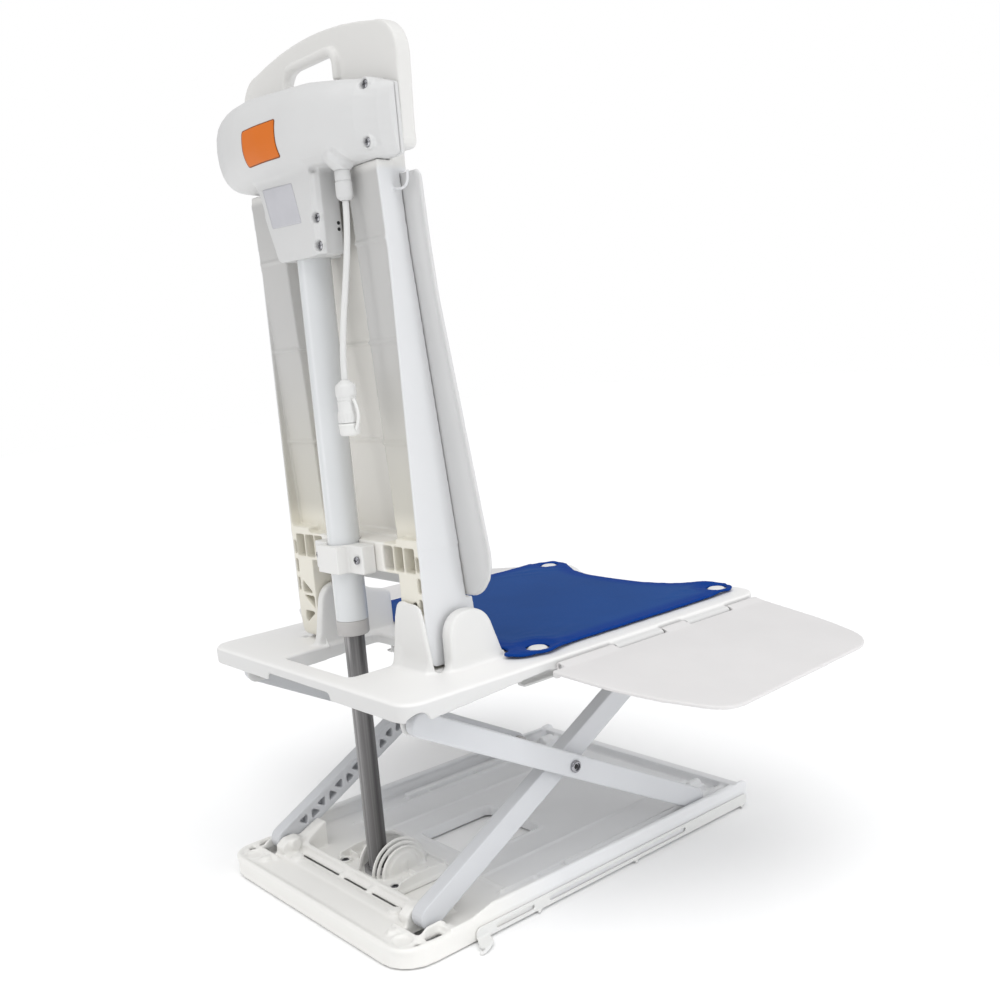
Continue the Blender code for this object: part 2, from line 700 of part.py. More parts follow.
def panel_y(z):
    """Front face of the backrest panel: it leans back by a few degrees up to the shoulders."""
    if z <= 690:
        return 100.0 + (z - 335) * 30.0 / 355
    return 130.0 + (z - 690) * 4.0 / 72


def panel_half(z):
    """Half width of the panel: round at its lower corners, then narrowing up to the shoulders."""
    if z < 384:
        d = (384 - z) / 49
        return 176.0 - 47.0 * (1 - math.sqrt(max(0.0, 1 - d * d)))
    return max(159.0, 176.0 - (z - 384) * 17.0 / 256)


def hat_section(z):
    """Section of the backrest frame at a height: a deep middle channel, flat sides and side walls."""
    floor = 147.0 + (z - 400) * 14.0 / 300
    front = panel_y(z) + 4.7
    channel = front + WALL
    w = BACK_HALF_W
    half = [
        (0, channel), (62, channel), (70, floor), (w - WALL, floor), (w - WALL, max(BACK_RIM_Y, floor + 0.5)),
        (w, max(BACK_RIM_Y, floor + 0.5)), (w, front), (w - WALL, front),
        (w - WALL, floor - WALL), (73, floor - WALL), (64.5, front), (0, front),
    ]
    both = half + mirrored(half[1:-1])[::-1]
    return [(x, y, z) for x, y in both]


frame = loft("backrest_frame", [hat_section(z) for z in (392.0, 690.0, 768.0)], WHITE)

HEAD_CORNER = 36.0
head_side = HEAD_HALF_W - HEAD_CORNER
head_right = [
    (head_side + HEAD_CORNER * math.cos(math.radians(t)), 871 + HEAD_CORNER * math.sin(math.radians(t)))
    for t in range(0, 91, 15)
]
head_arch = [(x, HEAD_TOP - 13.5 * (x / head_side) ** 2) for x in range(90, -91, -30)]
head_line = fillet([(-HEAD_HALF_W, 783), (HEAD_HALF_W, 783), (0, 1200)], [8, 8, 0])[:-1]
head_line += head_right + head_arch + mirrored(head_right)[::-1]
handle = rectangle(-45, 45, 853, 891, 15, 30)
handle_front = rectangle(-68, 68, 846, 898, 20, 30)
handle_rim = rectangle(-53.5, 53.5, 845, 899.5, 22, 30)
handle_rim_in = rectangle(-46.3, 46.3, 851.7, 892.3, 16.3, 30)
leg_line = fillet(
    [(160.6, 403), (160.6, 296), (158, 271), (94, 271), (97.5, 334), (105.6, 334.6), (panel_y(403) + 5.1, 403)],
    [0, 4, 10, 14, 0, 0, 0],
)
rim = prism("handle_rim", [handle_rim, handle_rim_in], HEAD_Y[1] - 2, HEAD_Y[1] + 3.0, "XZ")
boolean(rim, box("cut_rim_foot", (-70, 70), (140, 160), (830, 871.3)), "DIFFERENCE")
union(
    frame,
    prism("head_slab", [head_line], *HEAD_Y, "XZ"),
    box("head_neck", (-BACK_HALF_W, BACK_HALF_W), (HEAD_Y[0] + 0.5, HEAD_Y[1] - 0.3), (764, 792)),
    rim,
    box("back_beam", (-124, 124), (panel_y(398) + 5.5, 160), BEAM_Z),
)
for side_name, side in SIDES:
    union(frame, prism("back_leg_" + side_name, [leg_line], *span(side, (86, BACK_HALF_W - 0.4)), "YZ"))
cells = []
for s in (1, -1):
    for x0 in (61, 80, 99):
        cells.append(box("cut_cell", span(s, (x0, x0 + 16)), (126, 170), (370, 392)))
    for z0 in (370, 348, 326):
        cells.append(box("cut_slot", span(s, (117.5, 123)), (140, 170), (z0, z0 + 16)))
    for k in range(3):
        z0 = 288 + 18.5 * k
        flip = k % 2
        tri = [(s * (90 if flip else 113), z0), (s * (90 if flip else 113), z0 + 15), (s * (113 if flip else 90), z0 + (0 if k == 2 else 15))]
        cells.append(prism("cut_triangle", [tri], 128, 170, "XZ"))
    cells.append(cylinder("cut_pin", "X", *BACK_PIN, *span(s, (80, 130)), 5.7, sides=16))
    cells.append(cylinder("cut_clamp_screw", "Y", s * 37.5, 379, 146, 165, 2.4, sides=10))
cells.append(cylinder("cut_tube", "Z", 0, ROD_Y, 340, 410, TUBE_R + 0.5, sides=24))

# The handle's hole narrows from the front of the slab to its rim behind
cells.append(loft("cut_handle", [
    [(x, HEAD_Y[0] - 2, z) for x, z in handle_front],
    [(x, HEAD_Y[1] + 1, z) for x, z in handle],
    [(x, HEAD_Y[1] + 8, z) for x, z in handle],
]))

cut(frame, *cells)

# Front panel: an open surface given thickness, its side wings curling back
rows = [335.5, 338, 342, 348, 357, 369, 384, 450, 515, 580, 640, 690, 735, 757, 763.2]
columns = [-1.0, -0.975, -0.94, -0.85, -0.6, -0.3, 0.0, 0.3, 0.6, 0.85, 0.94, 0.975, 1.0]
bm = bmesh.new()
grid = []
for z in rows:
    half = panel_half(z) - (6.0 if z == rows[-1] else 0.0)
    line = []
    for c in columns:
        x = c * half
        curl = max(0.0, 12.0 - (half - abs(x)))
        line.append(bm.verts.new((x * MM, (panel_y(z) + 0.025 * curl * curl) * MM, z * MM)))
    grid.append(line)
for low, high in zip(grid, grid[1:]):
    for k in range(len(columns) - 1):
        bm.faces.new((low[k], low[k + 1], high[k + 1], high[k]))
panel = finish_mesh("backrest_panel", bm, WHITE)
solid = panel.modifiers.new("Solidify", "SOLIDIFY")
solid.thickness = 0.004
solid.offset = -1.0
if panel.data.polygons[0].normal.y > 0:
    panel.data.flip_normals()

# Clamp that holds the actuator tube to the backrest beam
clamp = box("clamp_cap", (-47, 47), (160.4, 177), CLAMP_Z, WHITE)
union(clamp, cylinder("clamp_bulge", "Z", 0, ROD_Y, *CLAMP_Z, TUBE_R + 5.5, sides=24))
cut(
    clamp,
    cylinder("cut_clamp_tube", "Z", 0, ROD_Y, 340, 410, TUBE_R + 0.5, sides=24),
    *[cylinder("cut_clamp_screw", "Y", s * 37.5, 379, 155, 185, 2.4, sides=10) for s in (1, -1)],
)
boolean(clamp, box("cut_clamp_front", (-60, 60), (120, 160.4), (340, 410)), "DIFFERENCE")
for side_name, side in SIDES:
    turned(
        "clamp_screw_" + side_name, "Y", side * 37.5, 379,
        [(180.2, 2.8), (179.6, 4.0), (177.4, 4.2), (177.4, 1.8), (148.0, 1.8)], BOLT, 10,
    )

# ---------------------------------------------------------------- actuator

ring("actuator_tube", "Z", 0, ROD_Y, *TUBE_Z, TUBE_R, TUBE_BORE_R, GLOSS_WHITE, 24)
ring("tube_wiper", "Z", 0, ROD_Y, 293.0, TUBE_Z[0] - 0.3, TUBE_R, ROD_R + 0.6, GREY, 24)
turned(
    "spindle", "Z", 0, ROD_Y,
    [(350.0, SPINDLE_R - 1), (351.5, SPINDLE_R), (820.0, SPINDLE_R), (820.8, SPINDLE_R - 0.8)], STEEL, 12,
)
ring("drive_gear", "Z", 0, ROD_Y, WORM_Z - 6, WORM_Z + 6, GEAR_R, SPINDLE_R + 0.5, BRASS, 24)
turned(
    "worm_shaft", "X", WORM_Y, WORM_Z,
    [(-26.0, 3.0), (-16.0, 3.0), (-16.0, WORM_R), (16.0, WORM_R), (16.0, 3.0), (37.5, 3.0)], STEEL, 12,
)
turned(
    "drive_motor", "X", WORM_Y, WORM_Z,
    [(38.0, 7.0), (41.0, 7.0), (41.0, 15.0), (97.0, 15.0), (100.0, 12.5)], DARK, 20,
)


def housing_ring(x, zc, half, y0, y1, inset=0.0):
    """D-shaped section of the motor housing, flat towards the backrest."""
    half -= inset
    y0 += inset
    y1 -= inset
    start = y0 + 0.30 * (y1 - y0)
    points = [(y0, zc - half)]
    for k in range(13):
        t = math.radians(-90 + 15 * k)
        c, s = abs(math.cos(t)) ** 0.86, abs(math.sin(t)) ** 0.86
        points.append((start + (y1 - start) * c, zc + half * math.copysign(s, math.sin(t))))
    points.append((y0, zc + half))
    return [(x, y, z) for y, z in points]


HOUSING = (
    (154.0, 823.0, 9.0, 158.0, 168.0),
    (152.5, 823.0, 24.0, 152.0, 175.5),
    (147.5, 823.0, 35.0, 148.5, 183.5),
    (138.0, 823.0, 41.0, HOUSING_FRONT_Y, 191.5),
    (120.0, 823.0, 45.0, HOUSING_FRONT_Y, 201.5),
    (90.0, 823.0, 46.0, HOUSING_FRONT_Y, 212.5),
    (50.0, 823.0, 46.0, HOUSING_FRONT_Y, 219.5),
    (5.0, 821.0, 44.5, HOUSING_FRONT_Y, 219.5),
    (-45.0, 819.5, 43.5, HOUSING_FRONT_Y, 212.0),
    (-90.0, 816.0, 40.5, HOUSING_FRONT_Y, 197.0),
    (-118.0, 813.3, 37.8, HOUSING_FRONT_Y, 182.0),
    (-138.0, 811.0, 35.5, HOUSING_FRONT_Y, 168.0),
    (-149.0, 809.5, 33.0, HOUSING_FRONT_Y, 158.0),
)
NECK = fillet(
    [(NECK_X[0], 800), (NECK_X[0], NECK_BOTTOM), (NECK_X[1], NECK_BOTTOM), (60, 770), (80, 800)],
    [0, 4, 10, 20, 0],
)
NECK_IN = [(NECK_X[0] + 3.8, 801), (NECK_X[0] + 3.8, NECK_BOTTOM + 4), (NECK_X[1] - 6, NECK_BOTTOM + 4), (54, 770), (72, 801)]
BOSSES = (
    (-124.0, 844.0, 166.0, 149.6), (-126.5, 790.0, 171.0, 149.6),
    (-46.5, 731.0, 185.0, 168.0), (-46.5, 703.5, 185.0, 168.0),
)


def housing_half(name, side, gap=0.15):
    body = loft(name, [housing_ring(*row) for row in HOUSING], WHITE)
    union(
        body,
        prism(name + "_neck", [NECK], NECK_FRONT_Y, NECK_REAR_Y, "XZ"),
        box(name + "_sleeve", (-NECK_TUBE_X, NECK_TUBE_X), (HOUSING_FRONT_Y, NECK_FRONT_Y + 4), (NECK_BOTTOM, 800)),
        box(name + "_flank", (-53.8, -40), (NECK_FRONT_Y + 0.3, 185.4), (NECK_BOTTOM + 0.5, 792)),
        cylinder(name + "_collar", "Z", CORD_TOP[0], CORD_TOP[1], 771.0, 800, 11.6, sides=20),
    )
    hollow = loft(name + "_hollow", [housing_ring(*row, inset=HOUSING_WALL) for row in HOUSING[2:-1]])
    boolean(hollow, prism(name + "_hollow_neck", [NECK_IN], NECK_FRONT_Y + 3.5, NECK_REAR_Y - 3.5, "XZ"), "UNION")
    boolean(hollow, cylinder(name + "_hollow_sleeve", "Z", 0, ROD_Y, NECK_BOTTOM + 4, 800, TUBE_R + 0.5, sides=24), "UNION")
    boolean(body, hollow, "DIFFERENCE")
    union(body, joined(name + "_bosses", [
        cylinder("boss", "Y", x, z, (HOUSING_FRONT_Y if abs(x) > 60 else NECK_FRONT_Y) + 0.2, top + 3.2, 7.0, sides=16) for x, z, top, _ in BOSSES
    ]))
    cut(
        body,
        cylinder("cut_tube", "Z", 0, ROD_Y, 680, 702, TUBE_R + 0.5, sides=24),
        *[turned("cut_screw", "Y", x, z, [(tip - 1.0, 2.2), (top, 2.2), (top, 5.0), (260, 5.0)], None, 12) for x, z, top, tip in BOSSES],
    )
    y, z = NECK_SPLIT[0] + side * gap, NECK_SPLIT[1] + (0.3 if side > 0 else 0.0)
    far = 300 if side > 0 else 100
    step = HOUSING_SPLIT_Y + side * gap
    boolean(body, prism(
        name + "_half", [[(far, 600), (y, 600), (y, z), (step, z), (step, 960), (far, 960)]], -260, 260, "YZ",
    ), "INTERSECT")
    return body


housing_half("housing_rear", 1)
housing_half("housing_front", -1)
for index, (x, z, top, tip) in enumerate(BOSSES, 1):
    turned(
        f"housing_screw_{index}", "Y", x, z,
        [(top + 3.0, 2.6), (top + 2.4, 4.0), (top + 0.3, 4.3), (top + 0.3, 1.7), (tip, 1.7)], BOLT, 10,
    )

# ---------------------------------------------------------------- cable

gx, gy, gz = CORD_TOP
turned(
    "cable_gland", "Z", gx, gy,
    [(770.6, 9.4), (760.0, 9.8), (748.0, 10.0), (744.0, 8.6), (742.3, 5.4)], WHITE, 14,
)


def cord_point(t):
    """A short stiff lead: straight down out of its gland, then drifting towards the tube."""
    ease = t * t * (3 - 2 * t)
    return Vector((
        gx + (CORD_END[0] - gx) * ease,
        gy + (CORD_END[1] - gy) * ease,
        gz + (CORD_END[2] - gz) * t,
    ))


cord_curve = bpy.data.curves.new("cord", "CURVE")
cord_curve.dimensions = "3D"
cord_curve.bevel_depth = CORD_R * MM
cord_curve.bevel_resolution = 2
cord_curve.use_fill_caps = True
spline = cord_curve.splines.new("POLY")
spline.points.add(13)
for k, point in enumerate(spline.points):
    point.co = (*(cord_point(k / 13) * MM), 1.0)
cord = bpy.data.objects.new("cord", cord_curve)
PARTS.objects.link(cord)
cord_curve.materials.append(CABLE)

cx, cy, cz = CORD_END
turned(
    "connector", "Z", cx, cy,
    [(cz - 0.3, 4.4), (cz - 3.0, 7.2), (cz - 6.0, 10.2), (cz - 16.0, 10.6), (cz - 17.0, 9.8), (cz - 31.0, 9.6),
     (cz - 32.0, 10.4), (cz - 43.0, 10.4)], WHITE, 14,
)
cap = turned(
    "connector_cap", "Z", cx, cy,
    [(cz - 43.4, 9.6), (cz - 45.0, 10.8), (cz - 54.0, 10.4), (cz - 56.0, 8.2)], RUBBER, 14,
)
strap = bpy.data.curves.new("strap", "CURVE")
strap.dimensions = "3D"
strap.bevel_depth = 1.6 * MM
strap.bevel_resolution = 2
strap.use_fill_caps = True
spline = strap.splines.new("POLY")
spline.points.add(9)
for k, point in enumerate(spline.points):
    t = k / 9
    point.co = (
        (cx - 9.4 - 6.5 * math.sin(math.pi * (0.12 + 0.76 * t))) * MM,
        (cy - 1.5 * math.sin(math.pi * t)) * MM,
        (cz - 49.5 + 30.0 * t) * MM, 1.0,
    )
strap_guide = bpy.data.objects.new("strap", strap)
PARTS.objects.link(strap_guide)
graph = bpy.context.evaluated_depsgraph_get()
strap_mesh = bpy.data.meshes.new_from_object(strap_guide.evaluated_get(graph))
bpy.data.objects.remove(strap_guide, do_unlink=True)
bm = bmesh.new()
bm.from_mesh(strap_mesh)
bmesh.ops.remove_doubles(bm, verts=bm.verts, dist=1e-6)
union(cap, finish_mesh("cap_strap", bm))

# ---------------------------------------------------------------- bodies and shading


def pivot(name, point):
    empty = bpy.data.objects.new(name, None)
    empty.location = Vector(point) * MM
    PARTS.objects.link(empty)
    return empty


BODIES = {
    "base_origin": ((0, 0, 0), ("base_", "suction_", "release_", "foot_", "lift_rod", "spindle_nut")),
    "lift_axis": ((0, PIVOT_Y, PIVOT_Z), ("inner_arm", "upper_glide")),
    "cross_axis": ((0, *MID), ("outer_arm", "lower_glide", "mid_pivot")),
    "flap_left_axis": ((HINGE_X, 0, HINGE_Z), ("flap_left",)),
    "flap_right_axis": ((-HINGE_X, 0, HINGE_Z), ("flap_right",)),
    "spindle_axis": ((0, ROD_Y, WORM_Z), ("spindle", "drive_gear")),
    "worm_axis": ((0, WORM_Y, WORM_Z), ("worm_shaft",)),
    "seat_axis": ((0, *DECK_PIVOT), ("",)),
}
empties = {name: pivot(name, point) for name, (point, _) in BODIES.items()}
bpy.context.view_layer.update()
for obj in list(PARTS.objects):
    if obj.type == "EMPTY":
        continue
    for name, (_, starts) in BODIES.items():
        if obj.name.startswith(starts):
            obj.parent = empties[name]
            obj.matrix_parent_inverse = empties[name].matrix_world.inverted()
            break
    if obj.type == "MESH":
        obj.data.shade_smooth()
        obj.data.set_sharp_from_angle(angle=math.radians(35))

# Everything that has no parent moves together: the pivots, with their pieces, and the cutters.
for obj in bpy.data.objects:
    if obj.parent is None:
        obj.location.y += MIDDLE_Y * MM
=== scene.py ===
"""Looks of the bath lift chair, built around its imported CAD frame.

The chair is seen from behind its right side, part of the way up its travel. Each moulded
piece starts from its own CAD solid, gains the ribs, bosses and rims of the moulding, and
is then given soft edges. Lengths are millimetres, measured from the middle of the base;
the frame's origin lies 12 mm in front of that.
"""

import json
import math

import bmesh
import bpy
import numpy as np
from mathutils import Matrix, Vector
from mathutils.bvhtree import BVHTree
from mathutils.geometry import delaunay_2d_cdt


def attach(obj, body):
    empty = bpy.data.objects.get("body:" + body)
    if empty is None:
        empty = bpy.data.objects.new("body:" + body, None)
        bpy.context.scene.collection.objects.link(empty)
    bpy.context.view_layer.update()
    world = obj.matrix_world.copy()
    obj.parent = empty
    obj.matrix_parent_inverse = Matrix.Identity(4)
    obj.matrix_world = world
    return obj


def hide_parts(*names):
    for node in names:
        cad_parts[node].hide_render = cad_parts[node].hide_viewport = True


MM = 0.001
MIDDLE_Y = 12.0

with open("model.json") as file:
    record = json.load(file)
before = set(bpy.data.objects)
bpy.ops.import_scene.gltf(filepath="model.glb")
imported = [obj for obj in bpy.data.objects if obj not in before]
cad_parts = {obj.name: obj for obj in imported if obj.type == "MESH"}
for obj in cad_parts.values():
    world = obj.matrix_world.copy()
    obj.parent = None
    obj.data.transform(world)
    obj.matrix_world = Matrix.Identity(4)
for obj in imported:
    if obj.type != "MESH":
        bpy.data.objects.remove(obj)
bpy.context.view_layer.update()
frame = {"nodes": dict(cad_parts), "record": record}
NODES = frame["nodes"]

SIDES = (("left", 1), ("right", -1))


# ---------------------------------------------------------------- materials


def plastic(name, colour, roughness, specular=0.5, mottle=0.03, grain=0.05, tints=(), coat=0.0):
    """A moulded plastic: faint cloudiness, uneven gloss and a fine grain. tints blend in another colour along y, z or the distance from the middle."""
    mat = bpy.data.materials.new(name)
    mat.use_nodes = True
    nodes, links = mat.node_tree.nodes, mat.node_tree.links
    shader = nodes["Principled BSDF"]
    shader.inputs["Specular IOR Level"].default_value = specular
    shader.inputs["Coat Weight"].default_value = coat
    shader.inputs["Coat Roughness"].default_value = 0.12
    place = nodes.new("ShaderNodeTexCoord")

    cloud = nodes.new("ShaderNodeTexNoise")
    cloud.inputs["Scale"].default_value = 16.0
    cloud.inputs["Detail"].default_value = 4.0
    links.new(place.outputs["Object"], cloud.inputs["Vector"])
    ramp = nodes.new("ShaderNodeValToRGB")
    ramp.color_ramp.elements[0].position = 0.3
    ramp.color_ramp.elements[1].position = 0.7
    ramp.color_ramp.elements[0].color = (*[c * (1 - mottle) for c in colour], 1)
    ramp.color_ramp.elements[1].color = (*colour, 1)
    links.new(cloud.outputs["Fac"], ramp.inputs["Fac"])
    out = ramp.outputs["Color"]
    if tints:
        split = nodes.new("ShaderNodeSeparateXYZ")
        links.new(place.outputs["Object"], split.inputs["Vector"])
        side = nodes.new("ShaderNodeMath")
        side.operation = "ABSOLUTE"
        links.new(split.outputs["X"], side.inputs[0])
        axes = {"side": side.outputs["Value"], "y": split.outputs["Y"], "z": split.outputs["Z"]}
        for axis, start, end, tint in tints:
            span = nodes.new("ShaderNodeMapRange")
            span.interpolation_type = "SMOOTHSTEP"
            span.inputs["From Min"].default_value = start * MM
            span.inputs["From Max"].default_value = end * MM
            links.new(axes[axis], span.inputs["Value"])
            mix = nodes.new("ShaderNodeMix")
            mix.data_type = "RGBA"
            for socket in mix.inputs:
                if socket.name == "B" and socket.type == "RGBA":
                    socket.default_value = (*tint, 1)
                if socket.name == "A" and socket.type == "RGBA":
                    links.new(out, socket)
            links.new(span.outputs["Result"], mix.inputs["Factor"])
            out = [s for s in mix.outputs if s.type == "RGBA"][0]
    links.new(out, shader.inputs["Base Color"])

    wear = nodes.new("ShaderNodeTexNoise")
    wear.inputs["Scale"].default_value = 90.0
    wear.inputs["Detail"].default_value = 3.0
    links.new(place.outputs["Object"], wear.inputs["Vector"])
    gloss = nodes.new("ShaderNodeMapRange")
    gloss.inputs["To Min"].default_value = roughness - 0.05
    gloss.inputs["To Max"].default_value = roughness + 0.06
    links.new(wear.outputs["Fac"], gloss.inputs["Value"])
    links.new(gloss.outputs["Result"], shader.inputs["Roughness"])

    fine = nodes.new("ShaderNodeTexNoise")
    fine.inputs["Scale"].default_value = 1400.0
    fine.inputs["Detail"].default_value = 2.0
    links.new(place.outputs["Object"], fine.inputs["Vector"])
    bump = nodes.new("ShaderNodeBump")
    bump.inputs["Strength"].default_value = grain
    bump.inputs["Distance"].default_value = 0.0004
    links.new(fine.outputs["Fac"], bump.inputs["Height"])
    links.new(bump.outputs["Normal"], shader.inputs["Normal"])
    return mat


def metal(name, dark, light, roughness, stretch=(1, 1, 1), scale=60.0, anisotropy=0.0):
    """A bare metal, streaked along the axis that is stretched; on the lift rod the streaks are vertical bands of
    painted reflection. With anisotropy it is ground around z.
    """
    mat = bpy.data.materials.new(name)
    mat.use_nodes = True
    nodes, links = mat.node_tree.nodes, mat.node_tree.links
    shader = nodes["Principled BSDF"]
    shader.inputs["Metallic"].default_value = 1.0
    shader.inputs["Anisotropic"].default_value = anisotropy
    if anisotropy:
        shader.inputs["Anisotropic Rotation"].default_value = 0.25
        around = nodes.new("ShaderNodeTangent")
        around.direction_type = "RADIAL"
        around.axis = "Z"
        links.new(around.outputs["Tangent"], shader.inputs["Tangent"])
    place = nodes.new("ShaderNodeTexCoord")
    pull = nodes.new("ShaderNodeMapping")
    pull.inputs["Scale"].default_value = stretch
    links.new(place.outputs["Object"], pull.inputs["Vector"])
    streaks_and_painted_bands = nodes.new("ShaderNodeTexNoise")
    streaks_and_painted_bands.inputs["Scale"].default_value = scale
    streaks_and_painted_bands.inputs["Detail"].default_value = 6.0
    links.new(pull.outputs["Vector"], streaks_and_painted_bands.inputs["Vector"])
    ramp = nodes.new("ShaderNodeValToRGB")
    ramp.color_ramp.elements[0].position = 0.32
    ramp.color_ramp.elements[1].position = 0.68
    ramp.color_ramp.elements[0].color = (*dark, 1)
    ramp.color_ramp.elements[1].color = (*light, 1)
    links.new(streaks_and_painted_bands.outputs["Fac"], ramp.inputs["Fac"])
    links.new(ramp.outputs["Color"], shader.inputs["Base Color"])
    gloss = nodes.new("ShaderNodeMapRange")
    gloss.inputs["To Min"].default_value = roughness - 0.07
    gloss.inputs["To Max"].default_value = roughness + 0.07
    links.new(streaks_and_painted_bands.outputs["Fac"], gloss.inputs["Value"])
    links.new(gloss.outputs["Result"], shader.inputs["Roughness"])
    bump = nodes.new("ShaderNodeBump")
    bump.inputs["Strength"].default_value = 0.12
    bump.inputs["Distance"].default_value = 0.0002
    links.new(streaks_and_painted_bands.outputs["Fac"], bump.inputs["Height"])
    links.new(bump.outputs["Normal"], shader.inputs["Normal"])
    return mat


def fabric(name, face, painted_hem_shade):
    """A coated cloth with a fine weave; towards its edge a painted shade makes it darker and more saturated, standing
    in for the shade where the real edge curls down.
    """
    mat = bpy.data.materials.new(name)
    mat.use_nodes = True
    nodes, links = mat.node_tree.nodes, mat.node_tree.links
    shader = nodes["Principled BSDF"]
    shader.inputs["Sheen Weight"].default_value = 0.01
    shader.inputs["Sheen Roughness"].default_value = 0.45
    shader.inputs["Sheen Tint"].default_value = (0.75, 0.82, 1.0, 1)
    shader.inputs["Specular IOR Level"].default_value = 0.07
    place = nodes.new("ShaderNodeTexCoord")
    cloud = nodes.new("ShaderNodeTexNoise")
    cloud.inputs["Scale"].default_value = 9.0
    cloud.inputs["Detail"].default_value = 5.0
    links.new(place.outputs["Object"], cloud.inputs["Vector"])
    ramp = nodes.new("ShaderNodeValToRGB")
    ramp.color_ramp.elements[0].position = 0.3
    ramp.color_ramp.elements[1].position = 0.72
    ramp.color_ramp.elements[0].color = (*[c * 0.9 for c in face], 1)
    ramp.color_ramp.elements[1].color = (*[c * 1.06 for c in face], 1)
    links.new(cloud.outputs["Fac"], ramp.inputs["Fac"])
    near = nodes.new("ShaderNodeAttribute")
    near.attribute_name = "painted_hem_shade"
    mix = nodes.new("ShaderNodeMix")
    mix.data_type = "RGBA"
    for socket in mix.inputs:
        if socket.type == "RGBA" and socket.name == "A":
            links.new(ramp.outputs["Color"], socket)
        if socket.type == "RGBA" and socket.name == "B":
            socket.default_value = (*painted_hem_shade, 1)
    links.new(near.outputs["Fac"], mix.inputs["Factor"])
    links.new([s for s in mix.outputs if s.type == "RGBA"][0], shader.inputs["Base Color"])
    weave = nodes.new("ShaderNodeTexNoise")
    weave.inputs["Scale"].default_value = 700.0
    weave.inputs["Detail"].default_value = 3.0
    links.new(place.outputs["Object"], weave.inputs["Vector"])
    gloss = nodes.new("ShaderNodeMapRange")
    gloss.inputs["To Min"].default_value = 0.52
    gloss.inputs["To Max"].default_value = 0.70
    links.new(weave.outputs["Fac"], gloss.inputs["Value"])
    links.new(gloss.outputs["Result"], shader.inputs["Roughness"])
    bump = nodes.new("ShaderNodeBump")
    bump.inputs["Strength"].default_value = 0.22
    bump.inputs["Distance"].default_value = 0.0005
    links.new(weave.outputs["Fac"], bump.inputs["Height"])
    links.new(bump.outputs["Normal"], shader.inputs["Normal"])
    return mat


WHITE = (0.665, 0.665, 0.662)
WARM = (0.59, 0.57, 0.505)
SHELL = plastic("shell_white", WHITE, 0.42)
# Painted light and shade: the deck's white turns lighter above z 269 to 272 (its top) and darker below z 266.6 to 264.2
# (its sides, skirt and underside), set by height and not by any lamp. The clamp cap, which stands above z 272, takes
# the lighter top white.
DECK_PAINTED_LIGHT_AND_SHADE = plastic("deck_white_painted_light_and_shade", (0.79, 0.785, 0.77), 0.42, tints=(("z", 272, 269, (0.84, 0.833, 0.82)), ("z", 266.6, 264.2, (0.69, 0.687, 0.68))))
FLAP = plastic("flap_white", (0.715, 0.70, 0.695), 0.46)
HEAD = (0.745, 0.737, 0.717)
# Painted shade: inside the backrest frame the white is darker than on its outer walls (beyond 122.6 to 125 mm from the
# middle) and on the head slab (above z 764 to 772), as the frame's walls shade it. It is lighter again within 60 to 67
# mm of the middle. Below z 434 to 404 a painted light lifts the bottom corners against their shade. Between z 640 and
# 380 the white blends to a warmer, yellower tone.
BACK_PAINTED_SHADE = plastic("back_white_painted_shade", (0.545, 0.54, 0.53), 0.44, tints=(
    ("z", 640, 380, WARM), ("z", 434, 404, (0.79, 0.762, 0.675)), ("side", 67, 60, (0.84, 0.822, 0.78)), ("side", 122.6, 125.0, (0.72, 0.725, 0.735)), ("z", 764, 772, HEAD),
))
# Painted light: the base tray and foot bracket get a lighter white than the other mouldings, to lift the shade that the
# seat casts on them. From y 60 to 190 towards the rear it blends to a warmer white.
BASE_PAINTED_LIGHT = plastic("base_white_painted_light", (0.82, 0.825, 0.835), 0.44, tints=(("y", 60, 190, (0.85, 0.84, 0.81)),))
ARM = plastic("arm_cool_white", (0.645, 0.655, 0.675), 0.38)
TUBE = plastic("tube_gloss_white", (0.71, 0.725, 0.735), 0.20, coat=0.3, grain=0.01)
GREY = plastic("grey_plastic_look", (0.53, 0.515, 0.505), 0.5)
RUBBER = plastic("rubber_white", (0.78, 0.78, 0.765), 0.6)
LEAD = plastic("lead_white", (0.73, 0.73, 0.72), 0.42)
# Painted reflection: the rod's base colour runs in vertical dark and light bands around it, standing in for the bands
# that its surroundings reflect. The ground finish's stretched highlight comes from the anisotropy.
STEEL_PAINTED_REFLECTION = metal("rod_steel_painted_reflection", (0.12, 0.117, 0.118), (0.265, 0.26, 0.26), 0.40, (1, 1, 0.002), 240.0, 0.95)
PIN_STEEL = metal("pin_steel", (0.42, 0.42, 0.42), (0.55, 0.55, 0.55), 0.3)
ZINC = metal("screw_zinc", (0.30, 0.30, 0.32), (0.50, 0.50, 0.52), 0.24)
BRONZE = metal("gear_bronze", (0.36, 0.23, 0.09), (0.50, 0.34, 0.15), 0.36)
CASE = metal("motor_tin", (0.10, 0.10, 0.11), (0.20, 0.20, 0.21), 0.42)
MAT_BLUE = fabric("mat_blue", (0.011, 0.062, 0.245), (0.0015, 0.040, 0.240))
# Painted shade: flat black discs stand in for the shaded hollows of the bolts' hex sockets and of the two holes in the
# housing's neck.
HOLE_PAINTED_SHADE = plastic("hole_painted_shade", (0.012, 0.012, 0.013), 0.6)
PATCH_ORANGE = plastic("patch_orange", (0.70, 0.165, 0.010), 0.40, specular=0.25, mottle=0.06)
PATCH_EDGE = plastic("patch_border", (0.22, 0.055, 0.008), 0.4, specular=0.25)
PATCH_SILVER = plastic("patch_silver", (0.60, 0.60, 0.635), 0.34, specular=0.6, mottle=0.12)

BODY_OF = {}
for body, held in frame["record"]["behaviour"]["bodies"].items():
    for node in held:
        BODY_OF[node] = body


# ---------------------------------------------------------------- shapes

AXES = {
    "X": Matrix(((0, 0, 1), (1, 0, 0), (0, 1, 0))),
    "Y": Matrix(((1, 0, 0), (0, 0, -1), (0, 1, 0))),
    "Z": Matrix.Identity(3),
}


